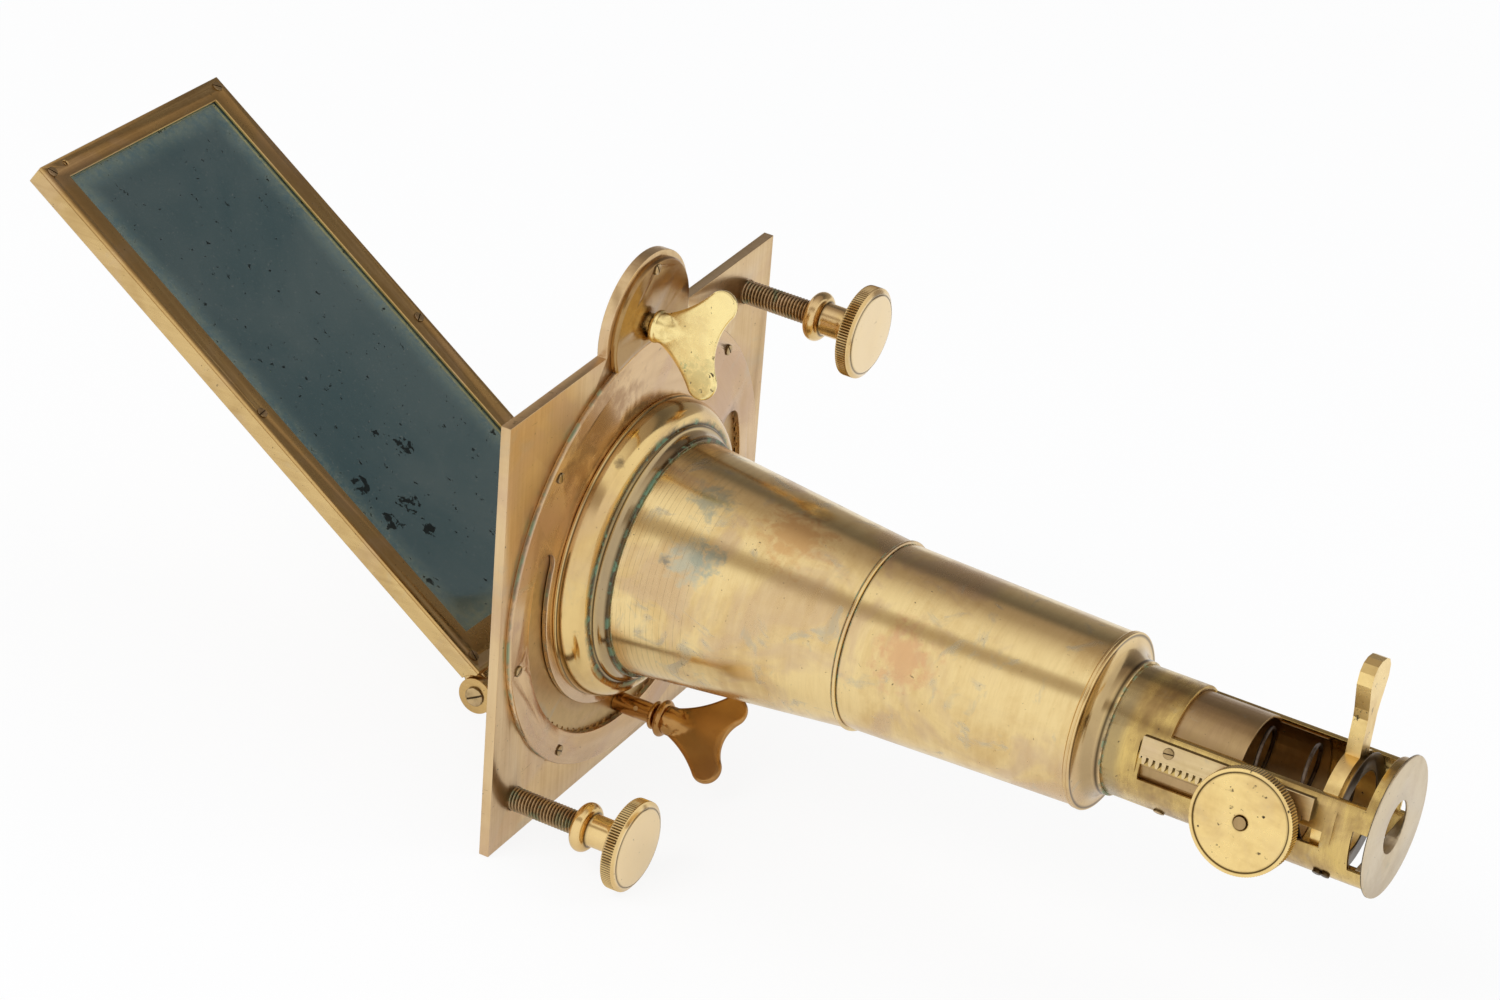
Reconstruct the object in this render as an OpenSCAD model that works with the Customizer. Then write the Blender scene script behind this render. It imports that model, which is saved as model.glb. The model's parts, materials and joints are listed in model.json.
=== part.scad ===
// Solar microscope for a window shutter: turning mirror outside, condenser tube and slider stage inside.
// X runs along the optical axis from the shutter plate to the nose, Z is up, and X = 0 is the plate's back.

/* [Shutter plate] */
// Side of the square plate
plate_side = 140; // [136:1:160]
// Thickness of the plate
plate_t = 3.1; // [3:0.1:4]
// Height of the turning key above the optical axis
ear_height = 72; // [71:0.5:73]
// Width of the plate's lobe round the pinion's pocket
ear_wall = 5.4; // [4.8:0.1:8]
// Width of the lobe's cover round the pinion's pocket
ear_lap = 3.6; // [3.4:0.1:4.2]
// Thickness of the lobe's cover
ear_cover_t = 1.9; // [1.5:0.1:2.5]

/* [Front disc] */
// Radius of the raised disc on the front of the plate
disc_r = 66.7; // [65.5:0.1:68]
// Thickness of the raised disc
disc_t = 1.6; // [1.4:0.1:2.5]
// Width of the arc slot
slot_w = 9; // [8:0.5:9.5]
// Angle from straight down to the middle of each slot end
slot_half = 108; // [90:1:112]
// Radius of the light opening behind the condenser
light_r = 32; // [28:0.5:33]

/* [Turning gear] */
// Teeth of the rotor that carries the mirror
rotor_n = 96; // [95:1:97]
// Module of the teeth of the rotor and its pinion
gear_m = 1.2; // [1.18:0.01:1.21]
// Thickness of the rotor
rotor_t = 2.3; // [2:0.1:2.4]
// Radius of the bearing that the rotor turns on
bearing_r = 38; // [37:0.5:39]
// Angle that the rotor stands turned to at rest
rotor_rest = -3; // [-10:0.5:10]

/* [Mirror] */
// Distance of the hinge behind the plate's back
hinge_back = 19; // [18:0.5:24]
// Distance of the hinge below the optical axis
hinge_drop = 39.5; // [39:0.25:40]
// Angle of the mirror above the horizontal at rest
mirror_tilt = 34; // [30:1:40]
// Width of the mirror frame
frame_w = 86.5; // [84:0.5:88]
// Length of the mirror frame
frame_l = 192.5; // [150:0.5:200]
// Depth of the mirror tray
tray_t = 5.5; // [5:0.1:7]
// Distance from the hinge to the near end of the frame
frame_start = 3.8; // [3.5:0.1:5]
// Thickness of the front frame that holds the glass in
bezel_t = 1; // [0.8:0.1:1.5]
// Width of the front frame's long rails
rail_w = 7.5; // [6.5:0.5:10]
// Width of the front frame's rail at the far end
rail_far = 6.5; // [6:0.5:10]
// Width of the front frame's rail at the hinge end
rail_near = 12; // [11:0.5:16]
// Thickness of the mirror glass
glass_t = 3.5; // [2.5:0.1:3.7]
// Thickness of a hinge cock
cock_t = 3; // [2.5:0.1:3.5]
// Radius of a hinge cock's eye
eye_r = 5.5; // [4.8:0.1:5.8]

/* [Tilting worm] */
// Distance of the tilting key below the optical axis
worm_drop = 52.5; // [52.25:0.25:53]
// Teeth that the full worm wheel would have
wheel_n = 24; // [23:1:25]
// Radius of the worm at its pitch line
worm_r = 3.4; // [3.3:0.1:3.6]
// Length of the worm
worm_l = 14; // [12:0.5:16]

/* [Wing keys] */
// Radius of a key's stem
stem_r = 3; // [2.8:0.1:3.2]
// Distance from a key's bead to the tips of its wing
wing_l = 22; // [20:0.5:26]
// Half the span of the turning key's wing
turn_wing_half = 15.8; // [13:0.2:18]
// Half the span of the tilting key's wing
tilt_wing_half = 13.7; // [12:0.1:18]
// Thickness of a wing
wing_t = 2; // [1.6:0.1:2.5]
// Place of the tilting key's large bead along the axis
tilt_bead_x = 19.2; // [17:0.2:24]
// Angle of the turning key's wing from upright
turn_wing_angle = 22; // [-90:1:90]
// Angle of the tilting key's wing from upright
tilt_wing_angle = 43; // [-90:1:90]

/* [Clamp screws] */
// Distance of each clamp screw from the axis, along Y and along Z
clamp_place = 57; // [55:0.5:62]
// Radius of the threaded rod
rod_r = 3.55; // [3:0.05:4]
// Length of rod that stands behind the plate
rod_tip = 3; // [1:0.5:6]
// Place of the head's collar along the axis
clamp_collar_x = 24.6; // [22:0.2:34]
// Length of the clamp screw's head with its collar
clamp_head_l = 20; // [17:0.5:26]
// Radius of the knurled head
head_r = 12.9; // [10:0.1:15]

/* [Body tube] */
// Radius of the base moulding
base_r = 44.3; // [43:0.1:46]
// Radius of the lower tube at its base
tube_base_r = 34.9; // [34.5:0.1:37]
// Place of the lower tube's base along the axis
tube_base_x = 17.3; // [16.5:0.1:20]
// Radius of the tubes at their joint
tube_joint_r = 27.6; // [27:0.1:30]
// Place of the joint along the axis
tube_joint_x = 85.8; // [70:0.1:100]
// Radius of the upper tube at its cap
tube_cap_r = 25.2; // [24.5:0.1:26.5]
// Place of the cap along the axis
tube_cap_x = 155.5; // [150:0.1:157]
// Wall of the body tubes
tube_wall = 1.3; // [1:0.1:1.8]

/* [Nose] */
// Outer radius of the nose sleeve
sleeve_r = 18.7; // [18.5:0.1:19]
// Wall of the nose sleeve
sleeve_wall = 1.4; // [1.3:0.05:1.6]
// Place where the sleeve's top is cut away
cut_x = 181; // [178:0.5:190]
// Height of the cheeks' top edges above the axis
cheek_z = 11.8; // [10:0.1:13]
// Place of the end disc's flange along the axis
flange_x = 241.6; // [241:0.1:246]
// Thickness of the end disc's flange
flange_t = 0.9; // [0.8:0.1:2]
// Radius of the end disc's flange
flange_r = 20.3; // [19.5:0.1:22]
// Length of the end disc's spigot
spigot_l = 3; // [2:0.1:4]
// Radius of the aperture that takes the objective
aperture_r = 7.6; // [5:0.1:10]
// Height of the slots for the sliders
slider_h = 12.4; // [8:0.2:14]
// Width of the slots for the sliders
slider_w = 4.6; // [4.4:0.1:5]

/* [Focus rack] */
// Angle that the rack and its knob are turned up round the sleeve
focus_turn = 15; // [10:1:20]
// Pitch of the rack's teeth
rack_pitch = 2; // [1.9:0.05:2.1]
// Teeth of the focus pinion
focus_n = 12; // [11:1:13]
// Place of the focus pinion along the axis
focus_x = 209; // [206:0.5:211]
// Place of the rack's rear end
rack_x = 174.5; // [172:0.5:176]
// Length of the rack bar
rack_l = 50.5; // [47:0.5:51]
// Thickness of the rack bar
rack_t = 2; // [1.6:0.1:2.4]
// Height of the rack bar above its teeth
rack_h = 6.4; // [6:0.1:7]
// Radius of the focus knob
knob_r = 15; // [12:0.1:16]
// Height of the window under the rack
window_h = 4.6; // [4.4:0.1:5]

/* [Focus tube] */
// Wall of the focusing tube
focus_wall = 0.9; // [0.8:0.05:1.2]
// Radius of the light opening in the field lens's ring
field_r = 12; // [9:0.5:12.5]
// Length of the focusing tube's full round part
focus_tube_l = 40; // [36:0.5:46]

/* [Slider stage] */
// Place of the pressure plate's front face along the axis
press_x = 229.6; // [228.8:0.1:230]
// Thickness of the pressure plate
press_t = 4.3; // [2.5:0.1:4.4]
// Distance of the lever's top from the optical axis
lever_top = 45; // [40:0.5:50]
// Half the width of the lever's neck
neck_half = 3.2; // [2.5:0.1:4]
// Half the width of the lever's paddle
paddle_half = 6; // [4.5:0.1:7]
// Angle that the lever leans away from the rack
lever_lean = 9; // [0:1:12]
// Turns of the stage spring
spring_turns = 5; // [4:1:7]
// Radius of the spring wire
wire_r = 0.6; // [0.4:0.05:0.7]

/* [Hidden] */
$fn = 96;

// clearances, and how far a cutting tool runs past the face that it opens
run = 0.05;
end_play = 0.2;
seat = 0.1;
cut = 1;

// gear proportions
pressure = 20;
addendum = 0.95;
dedendum = 1.25;
backlash = 0.12;

// small screws
shank_r = 0.9;
head_small_r = 1.6;
head_small_h = 0.6;
thread_depth = 1.9;

// turning gear
pinion_n = floor(2 * ear_height / gear_m + 0.01) - rotor_n;
rotor_tip_r = gear_m * (rotor_n / 2 + addendum);
pinion_tip_r = gear_m * (pinion_n / 2 + addendum);
pocket_r = rotor_tip_r + 0.8;
ear_pocket_r = pinion_tip_r + 0.5;
ear_r = ear_pocket_r + ear_wall;
ear_cover_r = ear_pocket_r + ear_lap;
ear_floor = 0.6;
ear_journal_r = 1.6;
disc_front = plate_t + disc_t;
rotor_x1 = plate_t - end_play;
rotor_x0 = rotor_x1 - rotor_t;
pinion_x0 = ear_floor + end_play;
ring_t = 1.4;
ring_r = bearing_r + 3;
ring_x1 = rotor_x0 - end_play;
ring_screw_r = (bearing_r + light_r) / 2 + 0.6;
cover_screw_r = pocket_r + shank_r + 2.35;
cover_screw_angles = [44, 136, 190, 234, 306, 350];
ear_screw_r = ear_cover_r - 2.1;
bevel = 0.5;

// feet of the cocks and the yoke on the rotor's back
foot_t = 2.1;
foot_x = rotor_x0 - foot_t;
foot_limit_r = pocket_r - 1;

// hinge of the mirror
cock_out = frame_w / 2 + 0.3;
cock_in = cock_out - cock_t;
cock_neck = 3.9;
cock_foot_y = cock_in - 7.5;
cock_foot_z = [-38, -27];
ear_out = cock_in - end_play;
ear_in = ear_out - 4;
tray_eye_r = 4.4;
pivot_r = 1.7;
pivot_head_r = 2.9;
pivot_head_h = 0.9;
relief_r = eye_r + 0.8;

// mirror frame, measured from the hinge along the frame and square to it
frame_n = 0.5;
bezel_n = frame_n + tray_t;
glass_n = bezel_n - 0.3 - glass_t;
frame_end = frame_start + frame_l;
glass_lip = 2.4;
frame_screw_in = 2.9;

// worm drive
wheel_r = worm_drop - hinge_drop - worm_r;
worm_m = 2 * wheel_r / wheel_n;
worm_pitch = PI * worm_m;
worm_lead = atan(worm_pitch / (2 * PI * worm_r));
worm_tip_r = worm_r + worm_m;
worm_core_r = worm_r - dedendum * worm_m;
worm_x0 = -hinge_back - worm_l / 2;
worm_x1 = -hinge_back + worm_l / 2;
worm_play = 0.2;
journal_r = 1.6;
shaft_r = 2.2;
spindle_r = 1.8;
yoke_t = 2.6;
yoke_half = 6;
strip_t = 1.6;
yoke_x = worm_x0 - end_play - yoke_t;
yoke_floor = worm_drop + worm_tip_r + 0.5;
sector_w = 5;
sector_foot_t = 2;
sector_foot_l = 18;

// wing keys
lobe_r = 4.6;
notch_l = wing_l - 3.2;
wing_neck = 4.4;
side_r = 31.7;
turn_bead_x = plate_t + ear_cover_t + end_play + 1.5;
tilt_wing_x = tilt_bead_x + 1.3;
socket_end = tilt_bead_x - 5;
tilt_pin_x = tilt_bead_x - 8.2;
tilt_pin_r = 0.7;

// clamp screws
clamp_x1 = clamp_collar_x + clamp_head_l;
clamp_disc_x = clamp_x1 - 5.2;
clamp_socket = 6;
clamp_ridges = 72;
rod_groove = 0.4;
knurl_depth = 0.45;
knurl_step = knurl_depth + 0.2;

// base moulding and condenser
lens_r = light_r + 1;
lens_x = disc_front + 0.3;
lens_edge = 2.4;
lens_bulge = 4.2;
lens_ring_x = lens_x + lens_edge + 0.4;
torus_r = 2.7;
tube_socket = 4;

// upper tube, cap and sleeve
joint_lip = 0.5;
spigot_gap = 0.1;
cap_web_x = tube_cap_x - 1.5;
cap_front_x = tube_cap_x + 2;
neck_l = 6.8;
neck_x = tube_cap_x + neck_l;
joint_spigot_l = 6;
sleeve_in = sleeve_r - sleeve_wall;

// focus rack, in the frame that is turned up round the sleeve
rack_m = rack_pitch / PI;
rack_root_z = 0.3;
pitch_z = rack_root_z - dedendum * rack_m;
focus_r = rack_m * focus_n / 2;
focus_z = pitch_z - focus_r;
flat_y = sleeve_r - 0.8;
rack_out = flat_y + rack_t;
rack_screw_in = 8;
window_x1 = rack_x + rack_l + 3.5;
focus_shaft_r = 1.8;
pinion_back = flat_y + 0.3;
knob_back = rack_out + 2.6;
knob_l = 4.6;
knob_ridges = 84;

// focusing tube
tube_r = sleeve_in - run;
tube_in = tube_r - focus_wall;
trough_back = 7.6;
tube_front = focus_x - trough_back;
tube_back = tube_front - focus_tube_l;
trough_x1 = focus_x + 6.5;
trough_z = cheek_z - 1;
field_back = 20;
field_x = tube_front - field_back;
field_gap = 0.4;
field_edge = 1.8;
field_bulge = 2;
field_ring_x = field_x + field_gap + field_edge + 0.5;
field_ring_t = 2.4;
rivet_r = focus_shaft_r + 0.6;
rivet_out = sqrt(tube_in * tube_in - pow(rivet_r - focus_z, 2)) - seat;
rivet_in = rivet_out - 0.5;

// slider stage
press_r = sleeve_in - seat;
stage_bore = 12;
stage_gap = 1.3;
stage_disc_t = 0.4;
stage_hub_r = 14;
spring_r = rivet_in - seat - wire_r;
spring_x0 = field_ring_x + field_ring_t;
spring_x1 = press_x - press_t - seat;

// Point at radius r and angle a
function polar(r, a) = [r * cos(a), r * sin(a)];
// Vector of length one
function unit(v) = v / norm(v);
// Points of an arc in a turned profile, with the angle measured from outward towards +X
function arc(x, centre_r, r, a0, a1, steps) =
    [for (i = [0:steps]) let (a = a0 + (a1 - a0) * i / steps) [x + r * sin(a), centre_r + r * cos(a)]];
// Involute of an angle, in degrees
function inv(a) = tan(a) * 180 / PI - a;
// Half the angle of a gear tooth at radius r, for pitch radius p, n teeth and backlash b
function tooth_half(r, p, n, b) =
    let (base = p * cos(pressure))
    90 / n - b * 90 / (PI * p) + inv(pressure) - inv(acos(min(1, base / max(r, base))));
// Outline of a spur gear of module m with n teeth, one of them centred at angle a0
function gear_points(n, m, a0) =
    let (p = n * m / 2, flank = [p - dedendum * m, p, p + addendum * m])
    [for (i = [0:n - 1], s = [0:5])
        let (r = flank[s < 3 ? s : 5 - s], half = tooth_half(r, p, n, backlash))
        polar(r, a0 + i * 360 / n + (s < 3 ? -half : half))];
// One straight tooth about its pitch line, as a rack or a worm has it, with its top at top modules
function rack_tooth(m, b, top) =
    let (half = PI * m / 4 - b / 2, t = tan(pressure))
    [[-half - dedendum * m * t, -dedendum * m], [-half + top * m * t, top * m],
     [half - top * m * t, top * m], [half + dedendum * m * t, -dedendum * m]];
// Upper point where a circle of radius ra about a meets one of radius rb about b
function meet(a, ra, b, rb) =
    let (d = norm(b - a), along = (ra * ra - rb * rb + d * d) / (2 * d), e = (b - a) / d,
         up = sqrt(ra * ra - along * along))
    a + along * e + up * [-e[1], e[0]];

// Body of revolution about the optical axis, from points of place and radius
module turned(points) rotate([0, 90, 0]) rotate_extrude() polygon([for (q = points) [q[1], q[0]]]);
// Round bar along X, and round bar along Y
module bar_x(x0, x1, r) translate([x0, 0, 0]) rotate([0, 90, 0]) cylinder(r = r, h = x1 - x0);
module bar_y(y0, y1, r) translate([0, y0, 0]) rotate([-90, 0, 0]) cylinder(r = r, h = y1 - y0);
// Outline in Y and Z made solid along X, and outline in X and Z made solid along Y
module slab_x(x0, x1) translate([x0, 0, 0]) rotate([90, 0, 90]) linear_extrude(x1 - x0) children();
module slab_y(y0, y1) translate([0, y1, 0]) rotate([90, 0, 0]) linear_extrude(y1 - y0) children();
// Block between two corners
module block(a, b) translate(a) cube(b - a);
// Skin over rings of points, each ring clockwise as seen from the next, with both ends closed
module loft(rings) {
    n = len(rings[0]);
    last = len(rings) - 1;
    polyhedron([for (ring = rings) each ring], concat(
        [for (j = [1:n - 2]) [0, j + 1, j]],
        [for (j = [1:n - 2]) [last * n, last * n + j, last * n + j + 1]],
        [for (i = [0:last - 1], j = [0:n - 1]) let (a = i * n, k = (j + 1) % n) [a + j, a + k, a + n + j]],
        [for (i = [0:last - 1], j = [0:n - 1]) let (a = i * n, k = (j + 1) % n)
            [a + n + j, a + k, a + n + k]]));
}
// Frames of the rotor, of its worm, of the hinge, of the mirror and of the focus rack
module on_rotor() rotate([rotor_rest, 0, 0]) children();
module on_worm() on_rotor() translate([0, 0, -worm_drop]) children();
module on_hinge() on_rotor() translate([-hinge_back, 0, -hinge_drop]) children();
module on_mirror() on_hinge() rotate([0, mirror_tilt, 0]) children();
module on_rack() rotate([-focus_turn, 0, 0]) children();
// Small screw that points along +X, with the back of its head at x = 0
module screw(length) {
    bar_x(-head_small_h, 0, head_small_r);
    bar_x(0, length, shank_r);
}
// Rounded bead on a turned stem
module bead(x, r, width) turned(concat([[x - width / 2, 0]],
    [for (a = [0:20:180]) [x - width / 2 * cos(a), stem_r + (r - stem_r) * sin(a)]],
    [[x + width / 2, 0]]));
// Disc along X with small straight ridges round its rim
module knurled(x0, x1, r, ridges) slab_x(x0, x1)
    polygon([for (i = [0:2 * ridges - 1]) polar(i % 2 == 0 ? r : r - knurl_depth, i * 180 / ridges)]);
// Lens whose two faces are parts of a ball, on a round edge
module lens(x, r, edge, bulge) {
    ball = (r * r + bulge * bulge) / (2 * bulge);
    face = [for (i = [0:6]) let (out = (r - seat) * i / 6)
        [bulge - ball + sqrt(ball * ball - out * out), out]];
    turned(concat([for (q = face) [x - q[0], q[1]]],
        [for (i = [6:-1:0]) [x + edge + face[i][0], face[i][1]]]));
}

module cover_screw_places() {
    for (a = cover_screw_angles) rotate([a, 0, 0]) translate([disc_front, cover_screw_r, 0]) children();
    translate([plate_t + ear_cover_t, 0, ear_height + ear_screw_r]) children();
}

module clamp_place_at(s) translate([0, s * clamp_place, s * clamp_place]) children();

module ring_screw_places() for (a = [45:90:315])
    rotate([a, 0, 0]) translate([ring_x1 - ring_t, ring_screw_r, 0]) children();

// Square plate with a lobe, pockets for the rotor and its pinion, and holes for the clamp screws
module shutter_plate() color("goldenrod") difference() {
    union() {
        block([0, -plate_side / 2, -plate_side / 2], [plate_t, plate_side / 2, plate_side / 2]);
        translate([0, 0, ear_height]) bar_x(0, plate_t, ear_r);
    }
    bar_x(-cut, plate_t + cut, pocket_r);
    translate([0, 0, ear_height]) bar_x(ear_floor, plate_t + cut, ear_pocket_r);
    translate([0, 0, ear_height]) bar_x(-cut, plate_t, ear_journal_r + run);
    for (s = [-1, 1]) clamp_place_at(s) bar_x(-cut, plate_t + cut, rod_r + run);
    cover_screw_places() bar_x(-plate_t - disc_t - cut, cut, shank_r + run);
}

// Outline of the slot that the tilting key travels in
module arc_slot() {
    a0 = -90 + slot_half;
    a1 = 270 - slot_half;
    difference() {
        circle(worm_drop + slot_w / 2);
        circle(worm_drop - slot_w / 2);
        polygon(concat([[0, 0]], [for (i = [0:4]) polar(3 * worm_drop, a0 + (a1 - a0) * i / 4)]));
    }
    for (a = [a0, a1]) translate(polar(worm_drop, a)) circle(slot_w / 2);
}

// Disc over the rotor, with the short round boss that the rotor turns on
module front_disc() color("darkgoldenrod") difference() {
    turned([[ring_x1, light_r], [ring_x1, bearing_r - run], [plate_t, bearing_r - run], [plate_t, disc_r],
            [disc_front - bevel, disc_r], [disc_front, disc_r - bevel], [disc_front, light_r]]);
    slab_x(plate_t - cut, disc_front + cut) arc_slot();
    translate([0, 0, ear_height]) bar_x(plate_t - cut, disc_front + cut, stem_r + run);
    cover_screw_places() bar_x(-disc_t - cut, cut, shank_r + run);
    ring_screw_places() bar_x(-cut, ring_t + thread_depth + seat, shank_r + run);
}

// Cover of the pinion's pocket, cut to the front disc's edge
module ear_cover() color("goldenrod") difference() {
    translate([0, 0, ear_height])
        turned([[plate_t, 0], [plate_t, ear_cover_r], [plate_t + ear_cover_t - bevel, ear_cover_r],
                [plate_t + ear_cover_t, ear_cover_r - bevel], [plate_t + ear_cover_t, 0]]);
    bar_x(plate_t - cut, plate_t + ear_cover_t + cut, disc_r + seat);
    translate([0, 0, ear_height]) bar_x(plate_t - cut, plate_t + ear_cover_t + cut, stem_r + run);
    cover_screw_places() bar_x(-ear_cover_t - cut, cut, shank_r + run);
}

module cover_screws() color("khaki") cover_screw_places() mirror([1, 0, 0]) screw(disc_t + thread_depth);

module retaining_ring() color("goldenrod") difference() {
    turned([[ring_x1 - ring_t, light_r], [ring_x1 - ring_t, ring_r], [ring_x1, ring_r], [ring_x1, light_r]]);
    ring_screw_places() bar_x(-cut, ring_t + cut, shank_r + run);
}

module ring_screws() color("khaki") ring_screw_places() screw(ring_t + thread_depth);

// Round torus, step and hollow that lead from the disc to the lower tube
module base_moulding() color("gold") {
    step_x = disc_front + 2 * torus_r;
    step_r = tube_base_r + 5;
    lip_r = tube_base_r + 0.8;
    turned(concat(
        [[disc_front, lens_r + seat]], arc(disc_front + torus_r, base_r - torus_r, torus_r, -90, 90, 10),
        [[step_x, step_r + 0.9], [step_x + 0.6, step_r], [step_x + 2, step_r - 0.4]],
        [for (a = [0:15:90]) [step_x + 2 + (tube_base_x - step_x - 2.5) * (1 - cos(a)),
                              step_r - 1 - (step_r - 1 - lip_r) * sin(a)]],
        [[tube_base_x, lip_r], [tube_base_x, tube_base_r], [tube_base_x - tube_socket, tube_base_r],
         [tube_base_x - tube_socket, lens_r + seat]]));
}

module condenser_lens() color("lightblue", 0.5) lens(lens_x, lens_r, lens_edge, lens_bulge);

module condenser_ring() color("goldenrod")
    turned([[lens_ring_x, light_r - 0.5], [lens_ring_x, lens_r], [lens_ring_x + 2, lens_r],
            [lens_ring_x + 2, light_r - 0.5]]);

module lower_tube() color("peru")
    turned([[tube_base_x - tube_socket, tube_base_r - tube_wall], [tube_base_x - tube_socket, tube_base_r],
            [tube_base_x, tube_base_r], [tube_joint_x - 1, tube_joint_r],
            [tube_joint_x - 0.8, tube_joint_r + joint_lip], [tube_joint_x, tube_joint_r + joint_lip],
            [tube_joint_x, tube_joint_r - tube_wall], [tube_base_x, tube_base_r - tube_wall]]);

module upper_tube() color("darkgoldenrod") {
    spigot = tube_joint_r - tube_wall - spigot_gap;
    turned([[tube_joint_x - joint_spigot_l, spigot - 1], [tube_joint_x - joint_spigot_l, spigot],
            [tube_joint_x, spigot],
            [tube_joint_x, tube_joint_r - 0.4], [tube_cap_x, tube_cap_r],
            [tube_cap_x, tube_cap_r - tube_wall], [tube_joint_x, spigot - 1]]);
}

// Plug in the upper tube, bead on its end and hollow neck round the sleeve
module tube_cap() color("gold") {
    plug_r = tube_cap_r - tube_wall - spigot_gap;
    turned(concat(
        [[cap_web_x, sleeve_r], [cap_web_x, plug_r - 1.3], [cap_web_x - 2.5, plug_r - 1.3],
         [cap_web_x - 2.5, plug_r], [tube_cap_x, plug_r], [tube_cap_x, tube_cap_r + 0.3],
         [tube_cap_x + 0.5, tube_cap_r + 0.7], [cap_front_x - 0.6, tube_cap_r + 0.7],
         [cap_front_x - 0.1, tube_cap_r + 0.1]],
        [for (a = [0:15:90]) [cap_front_x + (neck_x - cap_front_x) * (1 - cos(a)),
                              tube_cap_r - 0.6 - (tube_cap_r - 1.5 - sleeve_r) * sin(a)]],
        [[neck_x + 1.2, sleeve_r + 0.7], [neck_x + 1.2, sleeve_r]]));
}

module rack_screw_places() on_rack() for (x = [rack_x + rack_screw_in, rack_x + rack_l - rack_screw_in])
    translate([x, -rack_out, rack_root_z + rack_h * 0.62]) rotate([0, 0, 90]) children();

module sleeve_screw_place() rotate([45, 0, 0]) translate([cut_x - 1, -sleeve_r, 0])
    rotate([0, 0, 90]) children();

// Round to the cut, then two cheeks up to the end disc, with a flat for the rack and windows below it
module nose_sleeve() color("olive") difference() {
    turned([[cap_web_x, sleeve_in], [cap_web_x, sleeve_r], [flange_x, sleeve_r], [flange_x, sleeve_in]]);
    block([cut_x, -2 * sleeve_r, cheek_z], [flange_x - spigot_l, 2 * sleeve_r, 2 * sleeve_r]);
    on_rack() block([rack_x - 1, -2 * sleeve_r, -sleeve_r], [window_x1 + 3, -flat_y, sleeve_r]);
    on_rack() block([rack_x, -2 * sleeve_r, focus_z - window_h / 2], [window_x1, 0, focus_z + window_h / 2]);
    block([flange_x - slider_w, -2 * sleeve_r, -slider_h / 2], [flange_x + cut, 2 * sleeve_r, slider_h / 2]);
    slab_x(press_x, flange_x - spigot_l)
        polygon([[0, 0], polar(2 * sleeve_r, -88), polar(2 * sleeve_r, -67), polar(2 * sleeve_r, -46)]);
    rack_screw_places() bar_x(0, rack_t + 3 * sleeve_wall, shank_r + run);
    sleeve_screw_place() bar_x(-cut, 2 * sleeve_wall, shank_r + run);
}

module sleeve_screw() color("khaki") sleeve_screw_place() screw(sleeve_wall - seat);

// Oblong head of the stud under the sleeve
module sleeve_stud() color("khaki") rotate([40, 0, 0]) difference() {
    union() for (x = [0, 2.4]) translate([press_x - 1.8 + x, 0, 0]) bar_y(-sleeve_r - 0.9, 0, 1.3);
    bar_x(0, 2 * press_x, sleeve_r);
}

module rack_bar() color("khaki") {
    first = ceil((rack_x + 1 - focus_x) / rack_pitch - 0.5);
    difference() {
        on_rack() union() {
            block([rack_x, -rack_out, rack_root_z], [rack_x + rack_l, -flat_y, rack_root_z + rack_h]);
            for (k = [first:first + floor((rack_l - 4) / rack_pitch)])
                translate([focus_x + (k + 0.5) * rack_pitch, 0, pitch_z]) slab_y(-rack_out, -flat_y)
                    mirror([0, 1, 0]) polygon(rack_tooth(rack_m, backlash, addendum));
        }
        rack_screw_places() bar_x(-cut, rack_t + cut, shank_r + run);
    }
}

module rack_screws() color("khaki") rack_screw_places() screw(rack_out - sleeve_in + 0.3);

// Flange with the aperture, and a spigot in the sleeve that the sliders' channel crosses
module end_disc() color("tan") difference() {
    turned([[flange_x - spigot_l, aperture_r], [flange_x - spigot_l, sleeve_in], [flange_x, sleeve_in],
            [flange_x, flange_r - 0.2], [flange_x + 0.2, flange_r], [flange_x + flange_t, flange_r],
            [flange_x + flange_t, aperture_r]]);
    block([flange_x - spigot_l - cut, -2 * sleeve_r, -slider_h / 2], [flange_x, 2 * sleeve_r, slider_h / 2]);
}

module cock_screw_places() on_rotor() for (s = [-1, 1], z = [cock_foot_z[0] + 3, cock_foot_z[1] - 2.6])
    translate([foot_x, s * (cock_foot_y + 3.4), z]) children();

module yoke_screw_places() on_worm() for (s = [-1, 1]) translate([foot_x, s * 4, 5.4]) children();

// Toothed disc that carries the hinge cocks and the worm
module rotor() color("darkkhaki") difference() {
    slab_x(rotor_x0, rotor_x1) polygon(gear_points(rotor_n, gear_m, 90));
    bar_x(rotor_x0 - cut, rotor_x1 + cut, bearing_r);
    on_worm() bar_x(rotor_x0 - cut, rotor_x1 + cut, shaft_r + run);
    cock_screw_places() bar_x(0, foot_t + thread_depth + seat, shank_r + run);
    yoke_screw_places() bar_x(0, foot_t + thread_depth + seat, shank_r + run);
}

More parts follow.
